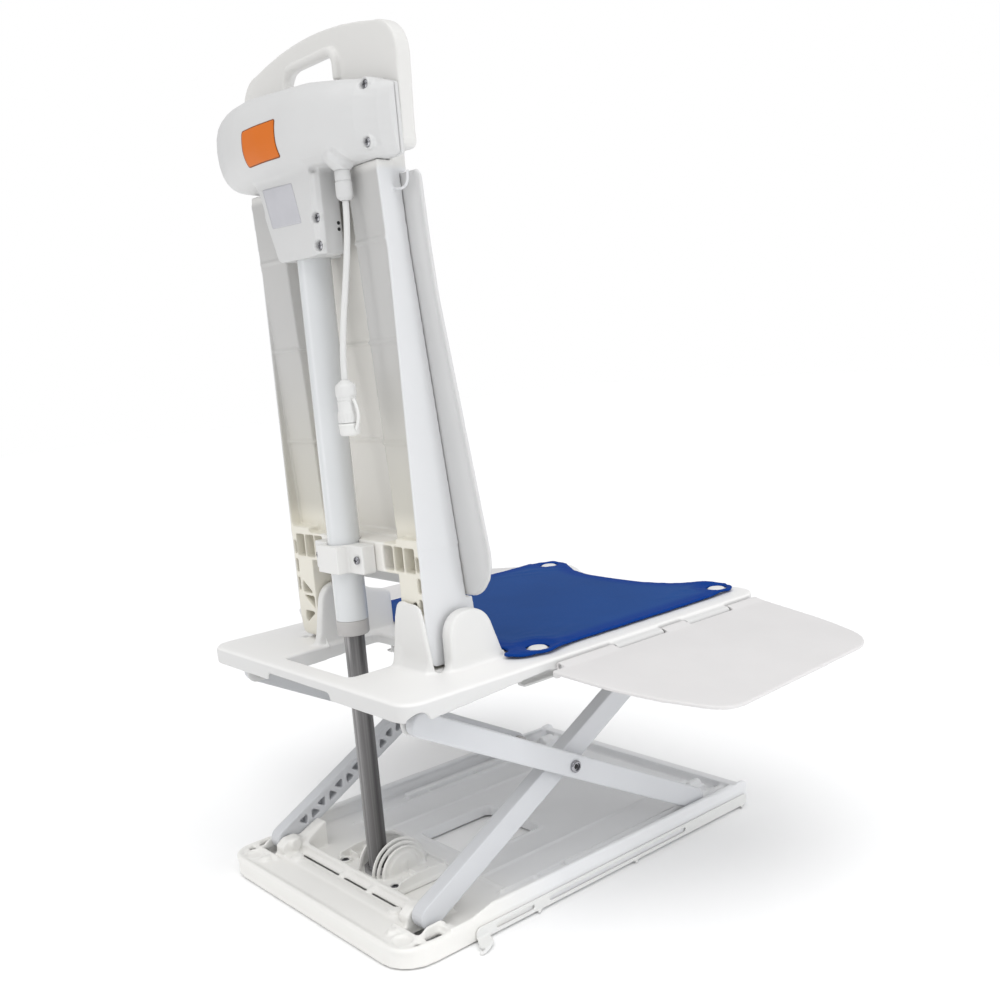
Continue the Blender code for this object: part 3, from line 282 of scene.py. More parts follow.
class Shape:
    """Closed solids that may overlap, given in millimetres from the middle of the base."""

    def __init__(self):
        self.bm = bmesh.new()

    def add(self, points, faces):
        made = [self.bm.verts.new((x * MM, (y + MIDDLE_Y) * MM, z * MM)) for x, y, z in points]
        for face in faces:
            self.bm.faces.new([made[k] for k in face])
        return self

    def box(self, x, y, z):
        x, y, z = sorted(x), sorted(y), sorted(z)
        points = [(x[i], y[j], z[k]) for i in (0, 1) for j in (0, 1) for k in (0, 1)]
        return self.add(points, [(0, 1, 3, 2), (4, 6, 7, 5), (0, 4, 5, 1), (2, 3, 7, 6), (0, 2, 6, 4), (1, 5, 7, 3)])

    def prism(self, outline, lo, hi, plane):
        put = {
            "XY": lambda u, v, w: (u, v, w), "XZ": lambda u, v, w: (u, w, v), "YZ": lambda u, v, w: (w, u, v),
        }[plane]
        n = len(outline)
        points = [put(u, v, lo) for u, v in outline] + [put(u, v, hi) for u, v in outline]
        faces = [tuple(range(n))[::-1], tuple(range(n, 2 * n))]
        faces += [(k, (k + 1) % n, n + (k + 1) % n, n + k) for k in range(n)]
        return self.add(points, faces)

    def turned(self, axis, a, b, profile, sides=48):
        """A solid of revolution; profile runs from end to end as (place on the axis, radius)."""
        points, n = [], sides
        for pos, r in profile:
            centre = Vector({"X": (pos, a, b), "Y": (a, pos, b), "Z": (a, b, pos)}[axis])
            for k in range(n):
                t = 2 * math.pi * k / n
                points.append(tuple(centre + AXES[axis] @ Vector((r * math.cos(t), r * math.sin(t), 0))))
        faces = [tuple(range(n)), tuple(range((len(profile) - 1) * n, len(profile) * n))]
        for i in range(len(profile) - 1):
            faces += [(i * n + k, i * n + (k + 1) % n, (i + 1) * n + (k + 1) % n, (i + 1) * n + k) for k in range(n)]
        return self.add(points, faces)

    def ring(self, axis, a, b, profile, sides=48):
        """A ring of revolution; profile is a closed loop of (place on the axis, radius)."""
        points, n, m = [], sides, len(profile)
        for pos, r in profile:
            centre = Vector({"X": (pos, a, b), "Y": (a, pos, b), "Z": (a, b, pos)}[axis])
            for k in range(n):
                t = 2 * math.pi * k / n
                points.append(tuple(centre + AXES[axis] @ Vector((r * math.cos(t), r * math.sin(t), 0))))
        faces = []
        for i in range(m):
            j = (i + 1) % m
            faces += [(i * n + k, i * n + (k + 1) % n, j * n + (k + 1) % n, j * n + k) for k in range(n)]
        return self.add(points, faces)

    def rod(self, path, r, sides=12):
        """A round bar along a path of points."""
        path = [Vector(p) for p in path]
        points = []
        side = None
        for k, p in enumerate(path):
            way = (path[min(k + 1, len(path) - 1)] - path[max(k - 1, 0)]).normalized()
            if side is None:
                side = way.orthogonal().normalized()
            side = (side - way * side.dot(way)).normalized()
            other = way.cross(side)
            for i in range(sides):
                t = 2 * math.pi * i / sides
                points.append(tuple(p + (side * math.cos(t) + other * math.sin(t)) * r))
        n, m = sides, len(path)
        faces = [tuple(range(n)), tuple(range((m - 1) * n, m * n))]
        for i in range(m - 1):
            faces += [(i * n + k, i * n + (k + 1) % n, (i + 1) * n + (k + 1) % n, (i + 1) * n + k) for k in range(n)]
        return self.add(points, faces)

    def mesh(self, name):
        bmesh.ops.recalc_face_normals(self.bm, faces=self.bm.faces)
        mesh = bpy.data.meshes.new(name)
        self.bm.to_mesh(mesh)
        self.bm.free()
        return mesh


def rounded(points, radii, step=12.0):
    """An outline with each corner rounded to its radius."""
    out = []
    for i, (point, r) in enumerate(zip(points, radii)):
        p = Vector(point)
        a = Vector(points[i - 1]) - p
        b = Vector(points[(i + 1) % len(points)]) - p
        if r <= 0:
            out.append((p.x, p.y))
            continue
        corner = a.angle(b)
        t = min(r / math.tan(corner / 2), 0.49 * min(a.length, b.length))
        r = t * math.tan(corner / 2)
        a.normalize()
        b.normalize()
        centre = p + (a + b).normalized() * (r / math.sin(corner / 2))
        start, end = p + a * t - centre, p + b * t - centre
        sweep = math.pi - corner
        sign = 1.0 if start.x * end.y - start.y * end.x > 0 else -1.0
        steps = max(1, round(math.degrees(sweep) / step))
        for k in range(steps + 1):
            q = sign * sweep * k / steps
            out.append((
                centre.x + start.x * math.cos(q) - start.y * math.sin(q),
                centre.y + start.x * math.sin(q) + start.y * math.cos(q),
            ))
    return out


def cove(u, v, du, dv, steps=6):
    """Outline of a hollow fillet in the corner at (u, v), reaching du along one leg and dv up the other."""
    arc = [
        (u + du * (1 - math.sin(math.pi / 2 * k / steps)), v + dv * (1 - math.cos(math.pi / 2 * k / steps)))
        for k in range(steps + 1)
    ]
    return [(u, v)] + arc


def span(side, lo, hi):
    return tuple(sorted((side * lo, side * hi)))


# ---------------------------------------------------------------- softening


def linked(name, mesh):
    obj = bpy.data.objects.new(name, mesh)
    bpy.context.scene.collection.objects.link(obj)
    return obj


def baked(obj):
    """Makes the object's modifiers its own mesh."""
    bpy.context.view_layer.update()
    graph = bpy.context.evaluated_depsgraph_get()
    mesh = bpy.data.meshes.new_from_object(obj.evaluated_get(graph))
    obj.modifiers.clear()
    obj.data = mesh
    return mesh


def relax(mesh, rounds, weight=None):
    """Draws each point towards the middle of its neighbours, which rounds the edges."""
    n = len(mesh.vertices)
    at = np.empty(n * 3)
    mesh.vertices.foreach_get("co", at)
    at = at.reshape(-1, 3)
    ends = np.empty(len(mesh.edges) * 2, np.int32)
    mesh.edges.foreach_get("vertices", ends)
    a, b = ends.reshape(-1, 2).T
    count = np.maximum(np.bincount(a, minlength=n) + np.bincount(b, minlength=n), 1)[:, None]
    pull = 0.5 if weight is None else 0.5 * weight(at / MM - (0, MIDDLE_Y, 0))[:, None]
    for _ in range(rounds):
        total = np.stack([np.bincount(a, at[b, k], n) + np.bincount(b, at[a, k], n) for k in range(3)], 1)
        at += pull * (total / count - at)
    mesh.vertices.foreach_set("co", at.ravel())
    mesh.update()


def within(lo, hi, fade=6.0):
    """A weight that is 1 inside a box and fades out around it."""
    lo, hi = np.array(lo, float), np.array(hi, float)

    def weight(at):
        away = np.maximum(np.maximum(lo - at, at - hi), 0).max(axis=1)
        return np.clip(1 - away / fade, 0, 1)

    return weight


def dress(obj, mat, *nodes, body=None):
    """Gives a finished piece its material and its body, and hides the CAD nodes that it stands for."""
    obj.data.materials.clear()
    obj.data.materials.append(mat)
    if obj.type == "MESH":
        obj.data.polygons.foreach_set("use_smooth", [True] * len(obj.data.polygons))
    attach(obj, body or BODY_OF[nodes[0]])
    if nodes:
        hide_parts(*nodes)
    return obj


def soften(node, mat, extra=None, cuts=None, voxel=1.4, rounds=8, weight=None, more=(), faces=40000, push=None):
    """The moulded look of a CAD node: details added or cut, all edges rounded."""
    bm = bmesh.new()
    bm.from_mesh(NODES[node].data)
    bmesh.ops.remove_doubles(bm, verts=bm.verts, dist=1e-6)
    mesh = bpy.data.meshes.new(node + "_moulded")
    bm.to_mesh(mesh)
    obj = linked(node + "_moulded", mesh)
    if cuts is not None:
        cutter = linked(node + "_cutter", cuts.mesh(node + "_cutter"))
        mod = obj.modifiers.new("Cut", "BOOLEAN")
        mod.operation = "DIFFERENCE"
        mod.solver = "EXACT"
        mod.use_self = True
        mod.object = cutter
        baked(obj)
        bpy.data.objects.remove(cutter, do_unlink=True)
    if extra is not None:
        bm = bmesh.new()
        bm.from_mesh(obj.data)
        added = extra.mesh(node + "_extra")
        bm.from_mesh(added)
        bm.to_mesh(obj.data)
        bpy.data.meshes.remove(added)
    bm.free()
    mod = obj.modifiers.new("Remesh", "REMESH")
    mod.mode = "VOXEL"
    mod.voxel_size = voxel * MM * 1.0
    mesh = baked(obj)
    relax(mesh, rounds, weight)
    for count, area in more:
        relax(mesh, count, area)
    if push is not None:
        push(mesh)
    sides = sum(len(p.vertices) - 2 for p in mesh.polygons)
    if sides > faces:
        mod = obj.modifiers.new("Decimate", "DECIMATE")
        mod.ratio = faces / sides
        baked(obj)
    dress(obj, mat, node)
    mod = obj.modifiers.new("Normals", "WEIGHTED_NORMAL")
    mod.weight = 60
    return obj


def solid(name, shape, mat, *nodes, body=None, smooth_angle=35.0):
    """A piece made only of clean turned or drawn shapes."""
    obj = linked(name, shape.mesh(name))
    dress(obj, mat, *nodes, body=body)
    obj.data.set_sharp_from_angle(angle=math.radians(smooth_angle))
    return obj


# ---------------------------------------------------------------- base

extra = Shape()
lip = rounded([(-179, 214), (179, 214), (179, 263), (-179, 263)], [0, 0, 35, 35])
lip_path = [(x * 0.977, y - 3.2, 19.5) for x, y in lip[1:-1]]
extra.rod([(175, 206, 18.5)] + lip_path + [(-175, 206, 18.5)], 3.6, 12)
extra.box((-112, 112), (190.4, 196.4), (9.5, 26.0))
for x in (22, -34):
    extra.box((x - 3, x + 3), (195.5, 205.5), (15, 22.0))
for name, s in SIDES:
    gusset = [(199, 10), (199, 25), (190, 30), (166, 44.4), (163.4, 43), (164.5, 10)]
    extra.prism(gusset, *span(s, 113.5, 117.6), "YZ")
    extra.box(span(s, 111.5, 133), (190.4, 196), (10, 28))
    cheek = rounded([(196, 15), (230, 15), (229, 21), (219, 27.5), (202, 28.5), (196, 24)], [0, 0, 4, 5, 5, 3])
    extra.turned("X", 207, 30, [(s * 112.4, 6.4), (s * 113.0, 7.4), (s * 117.6, 7.6)], 32)
    extra.prism(cheek, *span(s, 157, 160.6), "YZ")
    extra.prism([(150, 12), (204, 12), (204, 25.5), (178, 25.5), (150, 32)], *span(s, 174.8, 179.4), "YZ")
    extra.box(span(s, 156.5, 176), (199.5, 204), (15, 24.5))
    extra.box(span(s, 156.5, 161), (199.5, 232), (15, 22.8))
    extra.box(span(s, 117.5, 160), (229.4, 233), (15, 22.8))
    extra.ring("Z", s * 150, 243, [(18, 10.4), (21.6, 10.4), (21.6, 12.6), (18, 12.6)], 40)
    extra.turned("Z", s * 98, 215, [(18, 7.4), (24.6, 6.6)], 32)
    extra.turned("Z", s * 128, 240, [(18, 5.6), (23.2, 5.0)], 28)
    extra.box(span(s, 124, 146), (-224, -203), (11, 29))
    extra.turned("Y", s * 135, 29, [(-224, 5.4), (-203, 5.4)], 28)
    extra.box(span(s, 92, 95.5), (-244, 96), (12, 16))
    extra.box(span(s, 139, 142.2), (-246, 110), (12, 17.5))
    extra.box(span(s, 95, 140), (99, 102), (12, 16.5))
    for y in (-170, -90, -10, 60):
        extra.box(span(s, 141, 148), (y - 1.3, y + 1.3), (12, 16.5))
    extra.box(span(s, 171.5, 176), (-240, 150), (26.5, 30.0))
cuts = Shape()
cuts.box((-104, 112), (200.8, 206.6), (18.0, 30))
cuts.box((-100, 108), (202.4, 205.0), (14.8, 30))
for name, s in SIDES:
    cuts.box(span(s, 162, 172), (208, 226), (15.2, 30))
    cuts.turned("Z", s * 168, 237, [(15, 4), (30, 4)], 20)
soften("base_tray", BASE_PAINTED_LIGHT, extra, cuts, voxel=1.5, rounds=5, faces=90000)

for index, (x, y) in enumerate(((118, 126), (-118, 126), (118, -196), (-118, -196)), 1):
    cup = Shape().turned(
        "Z", x, y,
        [(0.15, 26), (0.1, 30), (0.9, 30.2), (1.6, 29.4), (3.0, 24.5), (4.2, 20), (5.0, 15), (5.6, 11.4), (6.2, 11), (8.7, 11)], 64,
    )
    solid(f"suction_cup_soft_{index}", cup, RUBBER, f"suction_cup_{index}")

for name, s in SIDES:
    extra = Shape()
    for y in (-250, -60, 88):
        extra.rod([(s * 181.6, y, 3.5), (s * 182.4, y + 2, 1.6), (s * 184.6, y + 5, 1.5), (s * 185.8, y + 8, 2.6)], 1.25, 10)
    extra.rod([(s * 199, 172, 4.4), (s * 202, 179, 3.2), (s * 203.2, 184.6, 2.2), (s * 200.6, 188, 1.8)], 1.9, 12)
    soften("release_strip_" + name, RUBBER, extra, None, voxel=0.75, rounds=4, faces=16000)

extra = Shape()
for x, y in ((-50, 181), (-53, 119), (50, 181), (53, 119)):
    extra.ring("Z", x, y, [(14, 5.6), (21.2, 5.6), (22.0, 6.2), (22.0, 7.6), (21.0, 8.2), (14, 8.6)], 32)
for s in (1, -1):
    for x0, x1, r in ((12.6, 14.2, 37.5), (16.8, 18.4, 34)):
        arc = [(150 + r * math.cos(math.pi * k / 18), 16.5 + r * math.sin(math.pi * k / 18)) for k in range(19)]
        arc_in = [(150 + (r - 5) * math.cos(math.pi * k / 18), 16.5 + (r - 5) * math.sin(math.pi * k / 18)) for k in range(19)]
        extra.prism(arc + arc_in[::-1], *span(s, x0, x1), "YZ")
    extra.box(span(s, 33, 60), (148, 151.5), (15, 24))
    extra.prism([(113, 15), (187, 15), (181, 27), (160, 30), (140, 30), (119, 27)], *span(s, 57.6, 60.4), "YZ")
    extra.box(span(s, 44, 59), (166, 168.5), (15, 25))
    extra.box(span(s, 44, 59), (132, 134.5), (15, 25))
extra.box((-46, 46), (108.5, 111.5), (15, 23))
cuts = Shape()
for s in (1, -1):
    cuts.box(span(s, 26.0, 43.5), (118, 182), (18.6, 60))
    step = [(150 + 25.6 * math.cos(math.pi * k / 18), 18.8 + 25.6 * math.sin(math.pi * k / 18)) for k in range(19)]
    step_in = [(150 + 20.4 * math.cos(math.pi * k / 18), 18.8 + 20.4 * math.sin(math.pi * k / 18)) for k in range(19)]
    cuts.prism(step + step_in[::-1], *span(s, 22.6, 26.4), "YZ")
soften("foot_bracket", BASE_PAINTED_LIGHT, extra, cuts, voxel=0.9, rounds=4, faces=40000)


# ---------------------------------------------------------------- screws and pins


def screw(node, axis, a, b, seat, out, head_r, head_h, shank_r, tip, mat=ZINC):
    """A pan-head screw with a cross recess. out is +1 or -1 along the axis; seat is where the head rests."""
    profile = [(tip, shank_r * 0.6), (tip + out * shank_r * 0.8, shank_r), (seat, shank_r), (seat, head_r * 0.97)]
    profile += [(seat + out * head_h * 0.55, head_r), (seat + out * head_h * 0.82, head_r * 0.90), (seat + out * head_h * 0.96, head_r * 0.70), (seat + out * head_h, head_r * 0.4), (seat + out * head_h, head_r * 0.02)]
    obj = linked(node + "_detailed", Shape().turned(axis, a, b, profile, 40).mesh(node))
    slot_w, slot_l = head_r * 0.17, head_r * 0.66
    top, floor = seat + out * (head_h + 1), seat + out * head_h * 0.35
    cutter = Shape()
    for u, v in ((slot_l, slot_w), (slot_w, slot_l)):
        ends = {
            "X": ((floor, top), (a - u, a + u), (b - v, b + v)),
            "Y": ((a - u, a + u), (floor, top), (b - v, b + v)),
            "Z": ((a - u, a + u), (b - v, b + v), (floor, top)),
        }[axis]
        cutter.box(*ends)
    tool = linked(node + "_cross", cutter.mesh(node + "_cross"))
    mod = obj.modifiers.new("Cross", "BOOLEAN")
    mod.operation, mod.solver, mod.use_self, mod.object = "DIFFERENCE", "EXACT", True, tool
    baked(obj)
    bpy.data.objects.remove(tool, do_unlink=True)
    dress(obj, mat, node)
    obj.data.set_sharp_from_angle(angle=math.radians(38))
    return obj


BOSSES = (
    (-124.0, 844.0, 166.0, 149.6), (-126.5, 790.0, 171.0, 149.6),
    (-46.5, 731.0, 185.0, 168.0), (-46.5, 703.5, 185.0, 168.0),
)
for index, (x, z, top, tip) in enumerate(BOSSES, 1):
    screw(f"housing_screw_{index}", "Y", x, z, top + 0.3, 1, 4.3, 2.9, 1.7, tip)
for name, s in SIDES:
    screw("clamp_screw_" + name, "Y", s * 37.5, 379, 177.4, 1, 4.4, 2.9, 1.8, 148.0)
for index, (x, y) in enumerate(((-50, 181), (-53, 119), (50, 181), (53, 119)), 1):
    screw(f"foot_screw_{index}", "Z", x, y, 18.3, 1, 4.5, 2.9, 1.9, 13.6, CASE)

nut = Shape()
hexagon = [(16 * math.cos(math.pi / 3 * k), 168 + 16 * math.sin(math.pi / 3 * k)) for k in range(6)]
nut.prism(hexagon, 18.4, 27.0, "XY")
nut_obj = linked("foot_nut_detailed", nut.mesh("foot_nut_detailed"))
bore = linked("nut_bore", Shape().turned("Z", 0, 168, [(10, 11.75), (40, 11.75)], 64).mesh("nut_bore"))
mod = nut_obj.modifiers.new("Bore", "BOOLEAN")
mod.operation, mod.solver, mod.object = "DIFFERENCE", "EXACT", bore
baked(nut_obj)
bpy.data.objects.remove(bore, do_unlink=True)
dress(nut_obj, ZINC, "foot_nut")
nut_obj.data.set_sharp_from_angle(angle=math.radians(30))

MID = (207 - 218.75 * math.cos(math.radians(27.83)), 30 + 218.75 * math.sin(math.radians(27.83)))
for name, s in SIDES:
    bolt = Shape().turned("X", *MID, [(s * x, r) for x, r in (
        (131.6, 5.2), (132.0, 6.1), (133.6, 6.4), (133.6, 4.0), (152.4, 4.0), (152.4, 8.4), (157.6, 8.4), (157.6, 4.0),
        (170.4, 4.0), (170.4, 6.8), (171.7, 6.8), (172.7, 6.3), (173.3, 5.2), (173.3, 4.4), (171.6, 3.9), (171.6, 0.05),
    )], 48)
    solid("mid_bolt_detailed_" + name, bolt, ZINC, "mid_pivot_bolt_" + name)
    # A flat black hexagon on the bolt's end paints the shade of its hex socket.
    plug = Shape().turned("X", *MID, [(s * 171.62, 3.0), (s * 171.9, 3.0), (s * 171.9, 0.05)], 6)
    solid("mid_bolt_socket_" + name, plug, HOLE_PAINTED_SHADE, body="outer_arms")

for name, s in SIDES:
    pin = Shape().turned("X", 207, 30, [(s * x, r) for x, r in (
        (114.4, 5.2), (114.8, 6.2), (116.2, 6.8), (116.7, 6.8), (116.7, 4.0), (147.0, 4.0), (147.6, 3.4),
    )], 40)
    solid("base_pin_detailed_" + name, pin, PIN_STEEL, "base_pivot_pin_" + name)
    pin = Shape().turned("X", 207, 234.247, [(s * x, r) for x, r in (
        (150.0, 5.4), (150.5, 6.5), (152.5, 6.5), (152.5, 4.0), (166.0, 4.0), (166.6, 3.4),
    )], 40)
    solid("deck_pin_detailed_" + name, pin, ZINC, "deck_pivot_pin_" + name)
    pin = Shape().turned("X", 116, 300, [(s * x, r) for x, r in ((72.5, 4.4), (73.1, 5.0), (139.8, 5.0), (140.4, 4.4))], 40)
    solid("backrest_pin_round_" + name, pin, PIN_STEEL, "backrest_pin_" + name)
    pin = Shape().turned("Y", s * 205, 259.5, [(-268, 1.9), (-267.6, 2.3), (53.6, 2.3), (54, 1.9)], 24)
    solid("flap_rod_round_" + name, pin, PIN_STEEL, "flap_rod_" + name)


# ---------------------------------------------------------------- scissor arms

ANGLE = math.radians(27.83)
HIGH = (207 - 437.5 * math.cos(ANGLE), 30 + 437.5 * math.sin(ANGLE))
LOW = (HIGH[0], 30.0)
for name, s in SIDES:
    soften("inner_arm_" + name, ARM, None, None, voxel=1.15, rounds=4, faces=26000)
    soften("outer_arm_" + name, ARM, None, None, voxel=1.15, rounds=4, faces=16000)
    glide = Shape().turned("X", *HIGH, [(s * x, r) for x, r in (
        (123.2, 7.4), (123.5, 8.4), (124.2, 9.0), (133.0, 9.0), (133.6, 8.4), (133.6, 4.0), (151.6, 4.0),
    )], 48)
    solid("upper_glide_round_" + name, glide, GREY, "upper_glide_" + name)
    glide = Shape().turned("X", *LOW, [(s * x, r) for x, r in (
        (148.4, 7.4), (148.7, 8.4), (149.4, 9.0), (157.0, 9.0), (157.6, 8.4), (157.6, 4.0), (166.6, 4.0),
    )], 48)
    solid("lower_glide_round_" + name, glide, GREY, "lower_glide_" + name)


# ---------------------------------------------------------------- seat deck

extra = Shape()
for name, s in SIDES:
    extra.prism(cove(146, 266, 14, 18) if s < 0 else cove(146, 266, 6, 8), *span(s, 135, 145.4), "YZ")
    extra.prism([(2 * 77 - u, v) for u, v in cove(77, 266, 5, 14)], *span(s, 130.5, 145.4), "YZ")
    extra.prism([(s * u, v) for u, v in cove(145, 266, 10, 14)], 84, 143, "XZ")
    extra.prism(cove(169, 266, 12, 12), *span(s, 73, 83.6), "YZ")
extra.prism(cove(164.6, 266, 13, 20), -131, -72, "YZ")
extra.prism([(-u, v) for u, v in cove(-68.5, 266, 12, 20)], 162, 165, "XZ")
extra.prism([(-122.0, 334), (-126.2, 316), (-135.6, 266), (-122.0, 266)], 159.6, 165.2, "XZ")
for x, y in ((152, -261), (-152, -261), (160, 44), (-160, 44)):
    extra.turned("Z", x, y, [(267, 8.2), (270.2, 8.2), (270.4, 10.5), (271.3, 10.5), (271.9, 9.2), (272.1, 6)], 40)
soften(
    "seat_deck", DECK_PAINTED_LIGHT_AND_SHADE, extra, None, voxel=1.35, rounds=6, faces=90000,
    more=((8, within((-210, 60, 262), (210, 260, 345), 8)), (14, within((-215, 240, 244), (215, 262, 272), 6))),
)

for name, s in SIDES:
    slope = math.radians(7)
    under = [(14.6, -0.9), (197, -0.9), (197, -9), (14.6, -9)]
    cuts = Shape().prism([
        (s * (205 + u * math.cos(slope) + w * math.sin(slope)), 259.5 - u * math.sin(slope) + w * math.cos(slope)) for u, w in under
    ], -290, 90, "XZ")
    soften("flap_" + name, FLAP, None, cuts, voxel=1.0, rounds=5, faces=30000)


# ---------------------------------------------------------------- backrest


def panel_y(z):
    return 100.0 + (z - 335) * 30.0 / 355 if z <= 690 else 130.0 + (z - 690) * 4.0 / 72


def floor_y(z):
    return 147.0 + (z - 400) * 14.0 / 300


extra = Shape()
for z in (500, 603, 702):
    for name, s in SIDES:
        extra.box(span(s, 69, 123.5), (floor_y(z) - 1.5, floor_y(z) + 2.0), (z - 1.3, z + 1.3))
        extra.prism([(s * 68.6, panel_y(z) + 6.5), (s * 62.4, panel_y(z) + 6.5), (s * 67, floor_y(z) - 1), (s * 70, floor_y(z) + 1.8), (s * 72, floor_y(z) + 1.8)], z - 1.3, z + 1.3, "XY")
    if z < 690:
        extra.box((-62.5, 62.5), (panel_y(z) + 6.5, panel_y(z) + 10.4), (z - 1.3, z + 1.3))
for s in (1, -1):
    extra.rod([
        (s * 124.5, 149, 749), (s * 131, 147.5, 746.6), (s * 137, 146, 746.4), (s * 141.5, 144.6, 748.4), (s * 143.8, 143.6, 753), (s * 144.6, 143, 763),
    ], 1.7, 12)
extra.box((-60, 60), (panel_y(398) + 6.0, 133.0), (396, 399.4))
grip = rounded([(-50, 866), (-50, 896), (50, 896), (50, 866)], [0, 19, 19, 0], 8)
extra.rod([(x, 148.6, z) for x, z in grip], 5.0, 16)
cuts = Shape()
for name, s in SIDES:
    extra.box(span(s, 70.5, 125.8), (159.5, 164.0), (762, 775.8))
    extra.box(span(s, 123.0, 125.8), (138, 164.0), (762, 775.8))
    for x0, x1 in ((60.2, 77.6), (79.4, 96.6), (98.4, 116.4)):
        cuts.box(span(s, x0, x1), (128, 170), (368.4, 393.8))


def head(at):
    """The head slab, with less rounding around its handle."""
    return within((-165, 120, 800), (165, 153, 930), 5)(at) * np.where(within((-58, 140, 850), (58, 160, 904), 2)(at) > 0, 0.25, 1.0)


soften(
    "backrest_frame", BACK_PAINTED_SHADE, extra, cuts, voxel=1.05, rounds=3, faces=150000,
    more=((10, head), (5, within((-130, 90, 402), (130, 165, 800), 5))),
)
soften("backrest_panel", SHELL, None, None, voxel=1.35, rounds=10, faces=40000)
extra = Shape()
extra.box((-20, 20), (186.0, 191.2), (363.8, 393.7))
for name, s in SIDES:
    extra.box(span(s, 18.4, 20), (166, 191.2), (363.8, 393.7))
soften("clamp_cap", DECK_PAINTED_LIGHT_AND_SHADE, extra, None, voxel=0.8, rounds=7, faces=24000)


# ---------------------------------------------------------------- actuator

# The rod's banded colour is painted reflection.
rod = solid("rod_brushed_painted_reflection", Shape().ring("Z", 0, 168, [(18.4, 11.0), (18.9, 11.25), (539.5, 11.25), (540, 11.0), (540, 8.5), (18.4, 8.5)], 128), STEEL_PAINTED_REFLECTION, "lift_rod")
solid("tube_round", Shape().ring("Z", 0, 168, [(309.5, 17.2), (309.9, 17.5), (744.6, 17.5), (745, 17.2), (745, 14.8), (309.5, 14.8)], 128), TUBE, "actuator_tube")
solid("wiper_round", Shape().ring("Z", 0, 168, [
    (293.0, 16.3), (294.2, 17.2), (295.0, 17.5), (308.6, 17.5), (309.2, 17.1), (309.2, 11.9), (294.4, 11.9), (293.0, 12.6),
], 128), GREY, "tube_wiper", smooth_angle=28)
solid("spindle_round", Shape().turned("Z", 0, 168, [(350, 4.0), (351.5, 5.0), (820, 5.0), (820.8, 4.2)], 48), PIN_STEEL, "spindle")
solid("spindle_nut_round", Shape().ring("Z", 0, 168, [(540.4, 13.4), (540.9, 13.8), (555.5, 13.8), (556, 13.4), (556, 5.7), (540.4, 5.7)], 64), BRONZE, "spindle_nut")
teeth = []
for k in range(40):
    for t, r in ((0.0, 10.1), (0.3, 10.2), (0.5, 11.0), (0.8, 11.0)):
        q = 2 * math.pi * (k + t) / 40
        teeth.append((r * math.cos(q), 168 + r * math.sin(q)))
gear = linked("gear_toothed", Shape().prism(teeth, 806, 818, "XY").mesh("gear_toothed"))
bore = linked("gear_bore", Shape().turned("Z", 0, 168, [(800, 5.5), (824, 5.5)], 48).mesh("gear_bore"))
mod = gear.modifiers.new("Bore", "BOOLEAN")
mod.operation, mod.solver, mod.object = "DIFFERENCE", "EXACT", bore
baked(gear)
bpy.data.objects.remove(bore, do_unlink=True)
dress(gear, BRONZE, "drive_gear")
gear.data.set_sharp_from_angle(angle=math.radians(30))
worm = Shape().turned("X", 184.6, 812, [(-26, 2.6), (-25.5, 3.0), (-16.2, 3.0), (-16, 4.2)] + [
    (-16 + 0.8 * k, 5.0 if k % 2 else 4.3) for k in range(1, 40)
] + [(16, 4.2), (16.2, 3.0), (37, 3.0), (37.5, 2.6)], 40)
solid("worm_cut", worm, PIN_STEEL, "worm_shaft")
motor = Shape().turned("X", 184.6, 812, [(38, 6.4), (38.6, 7.0), (41, 7.0), (41, 14.2), (41.8, 15.0), (96, 15.0), (98.4, 14.4), (100, 12.5)], 64)
solid("motor_can", motor, CASE, "drive_motor")


# ---------------------------------------------------------------- motor housing


def off_seam(at):
    """Leaves the parting faces of the two housing shells as they are."""
    low = at[:, 2] < 771.5
    away = np.where(low, np.abs(at[:, 1] - 178), np.abs(at[:, 1] - 152))
    step = np.where((np.abs(at[:, 2] - 770) < 3) & (at[:, 1] > 150) & (at[:, 1] < 180), 0.0, 9.0)
    return np.clip((np.minimum(away, step) - 1.2) / 4, 0, 1)


def crease(at):
    """Where the neck runs up into the housing."""
    return within((-38, 186, 752), (100, 222, 792), 8)(at)


DIMPLE = np.array([(-88.6, 188.6, 786.2), (-92.9, 181.5, 779.4), (-93.6, 175.0, 775.4)])
INTO = np.array((-0.60, 0.58, -0.55))


def dimple(mesh):
    """A shallow scoop in the underside of the shell, above the lead."""
    n = len(mesh.vertices)
    at, out = np.empty(n * 3), np.empty(n * 3)
    mesh.vertices.foreach_get("co", at)
    mesh.vertex_normals.foreach_get("vector", out)
    at, out = at.reshape(-1, 3), out.reshape(-1, 3)
    place = at / MM - (0, MIDDLE_Y, 0)
    off = (place - DIMPLE[1]) @ INTO
    place -= off[:, None] * INTO
    flat_line = DIMPLE - ((DIMPLE - DIMPLE[1]) @ INTO)[:, None] * INTO
    away = np.full(n, 1e9)
    for a, b in zip(flat_line, flat_line[1:]):
        along = np.clip(((place - a) @ (b - a)) / ((b - a) @ (b - a)), 0, 1)[:, None]
        away = np.minimum(away, np.linalg.norm(place - a - along * (b - a), axis=1))
    deep = 3.4 * np.clip(1 - (away / 5.4) ** 2, 0, 1)
    deep[(out @ INTO < 0.1) | (off < -16) | (off > 26)] = 0
    at -= out * deep[:, None] * MM
    mesh.vertices.foreach_set("co", at.ravel())
    mesh.update()


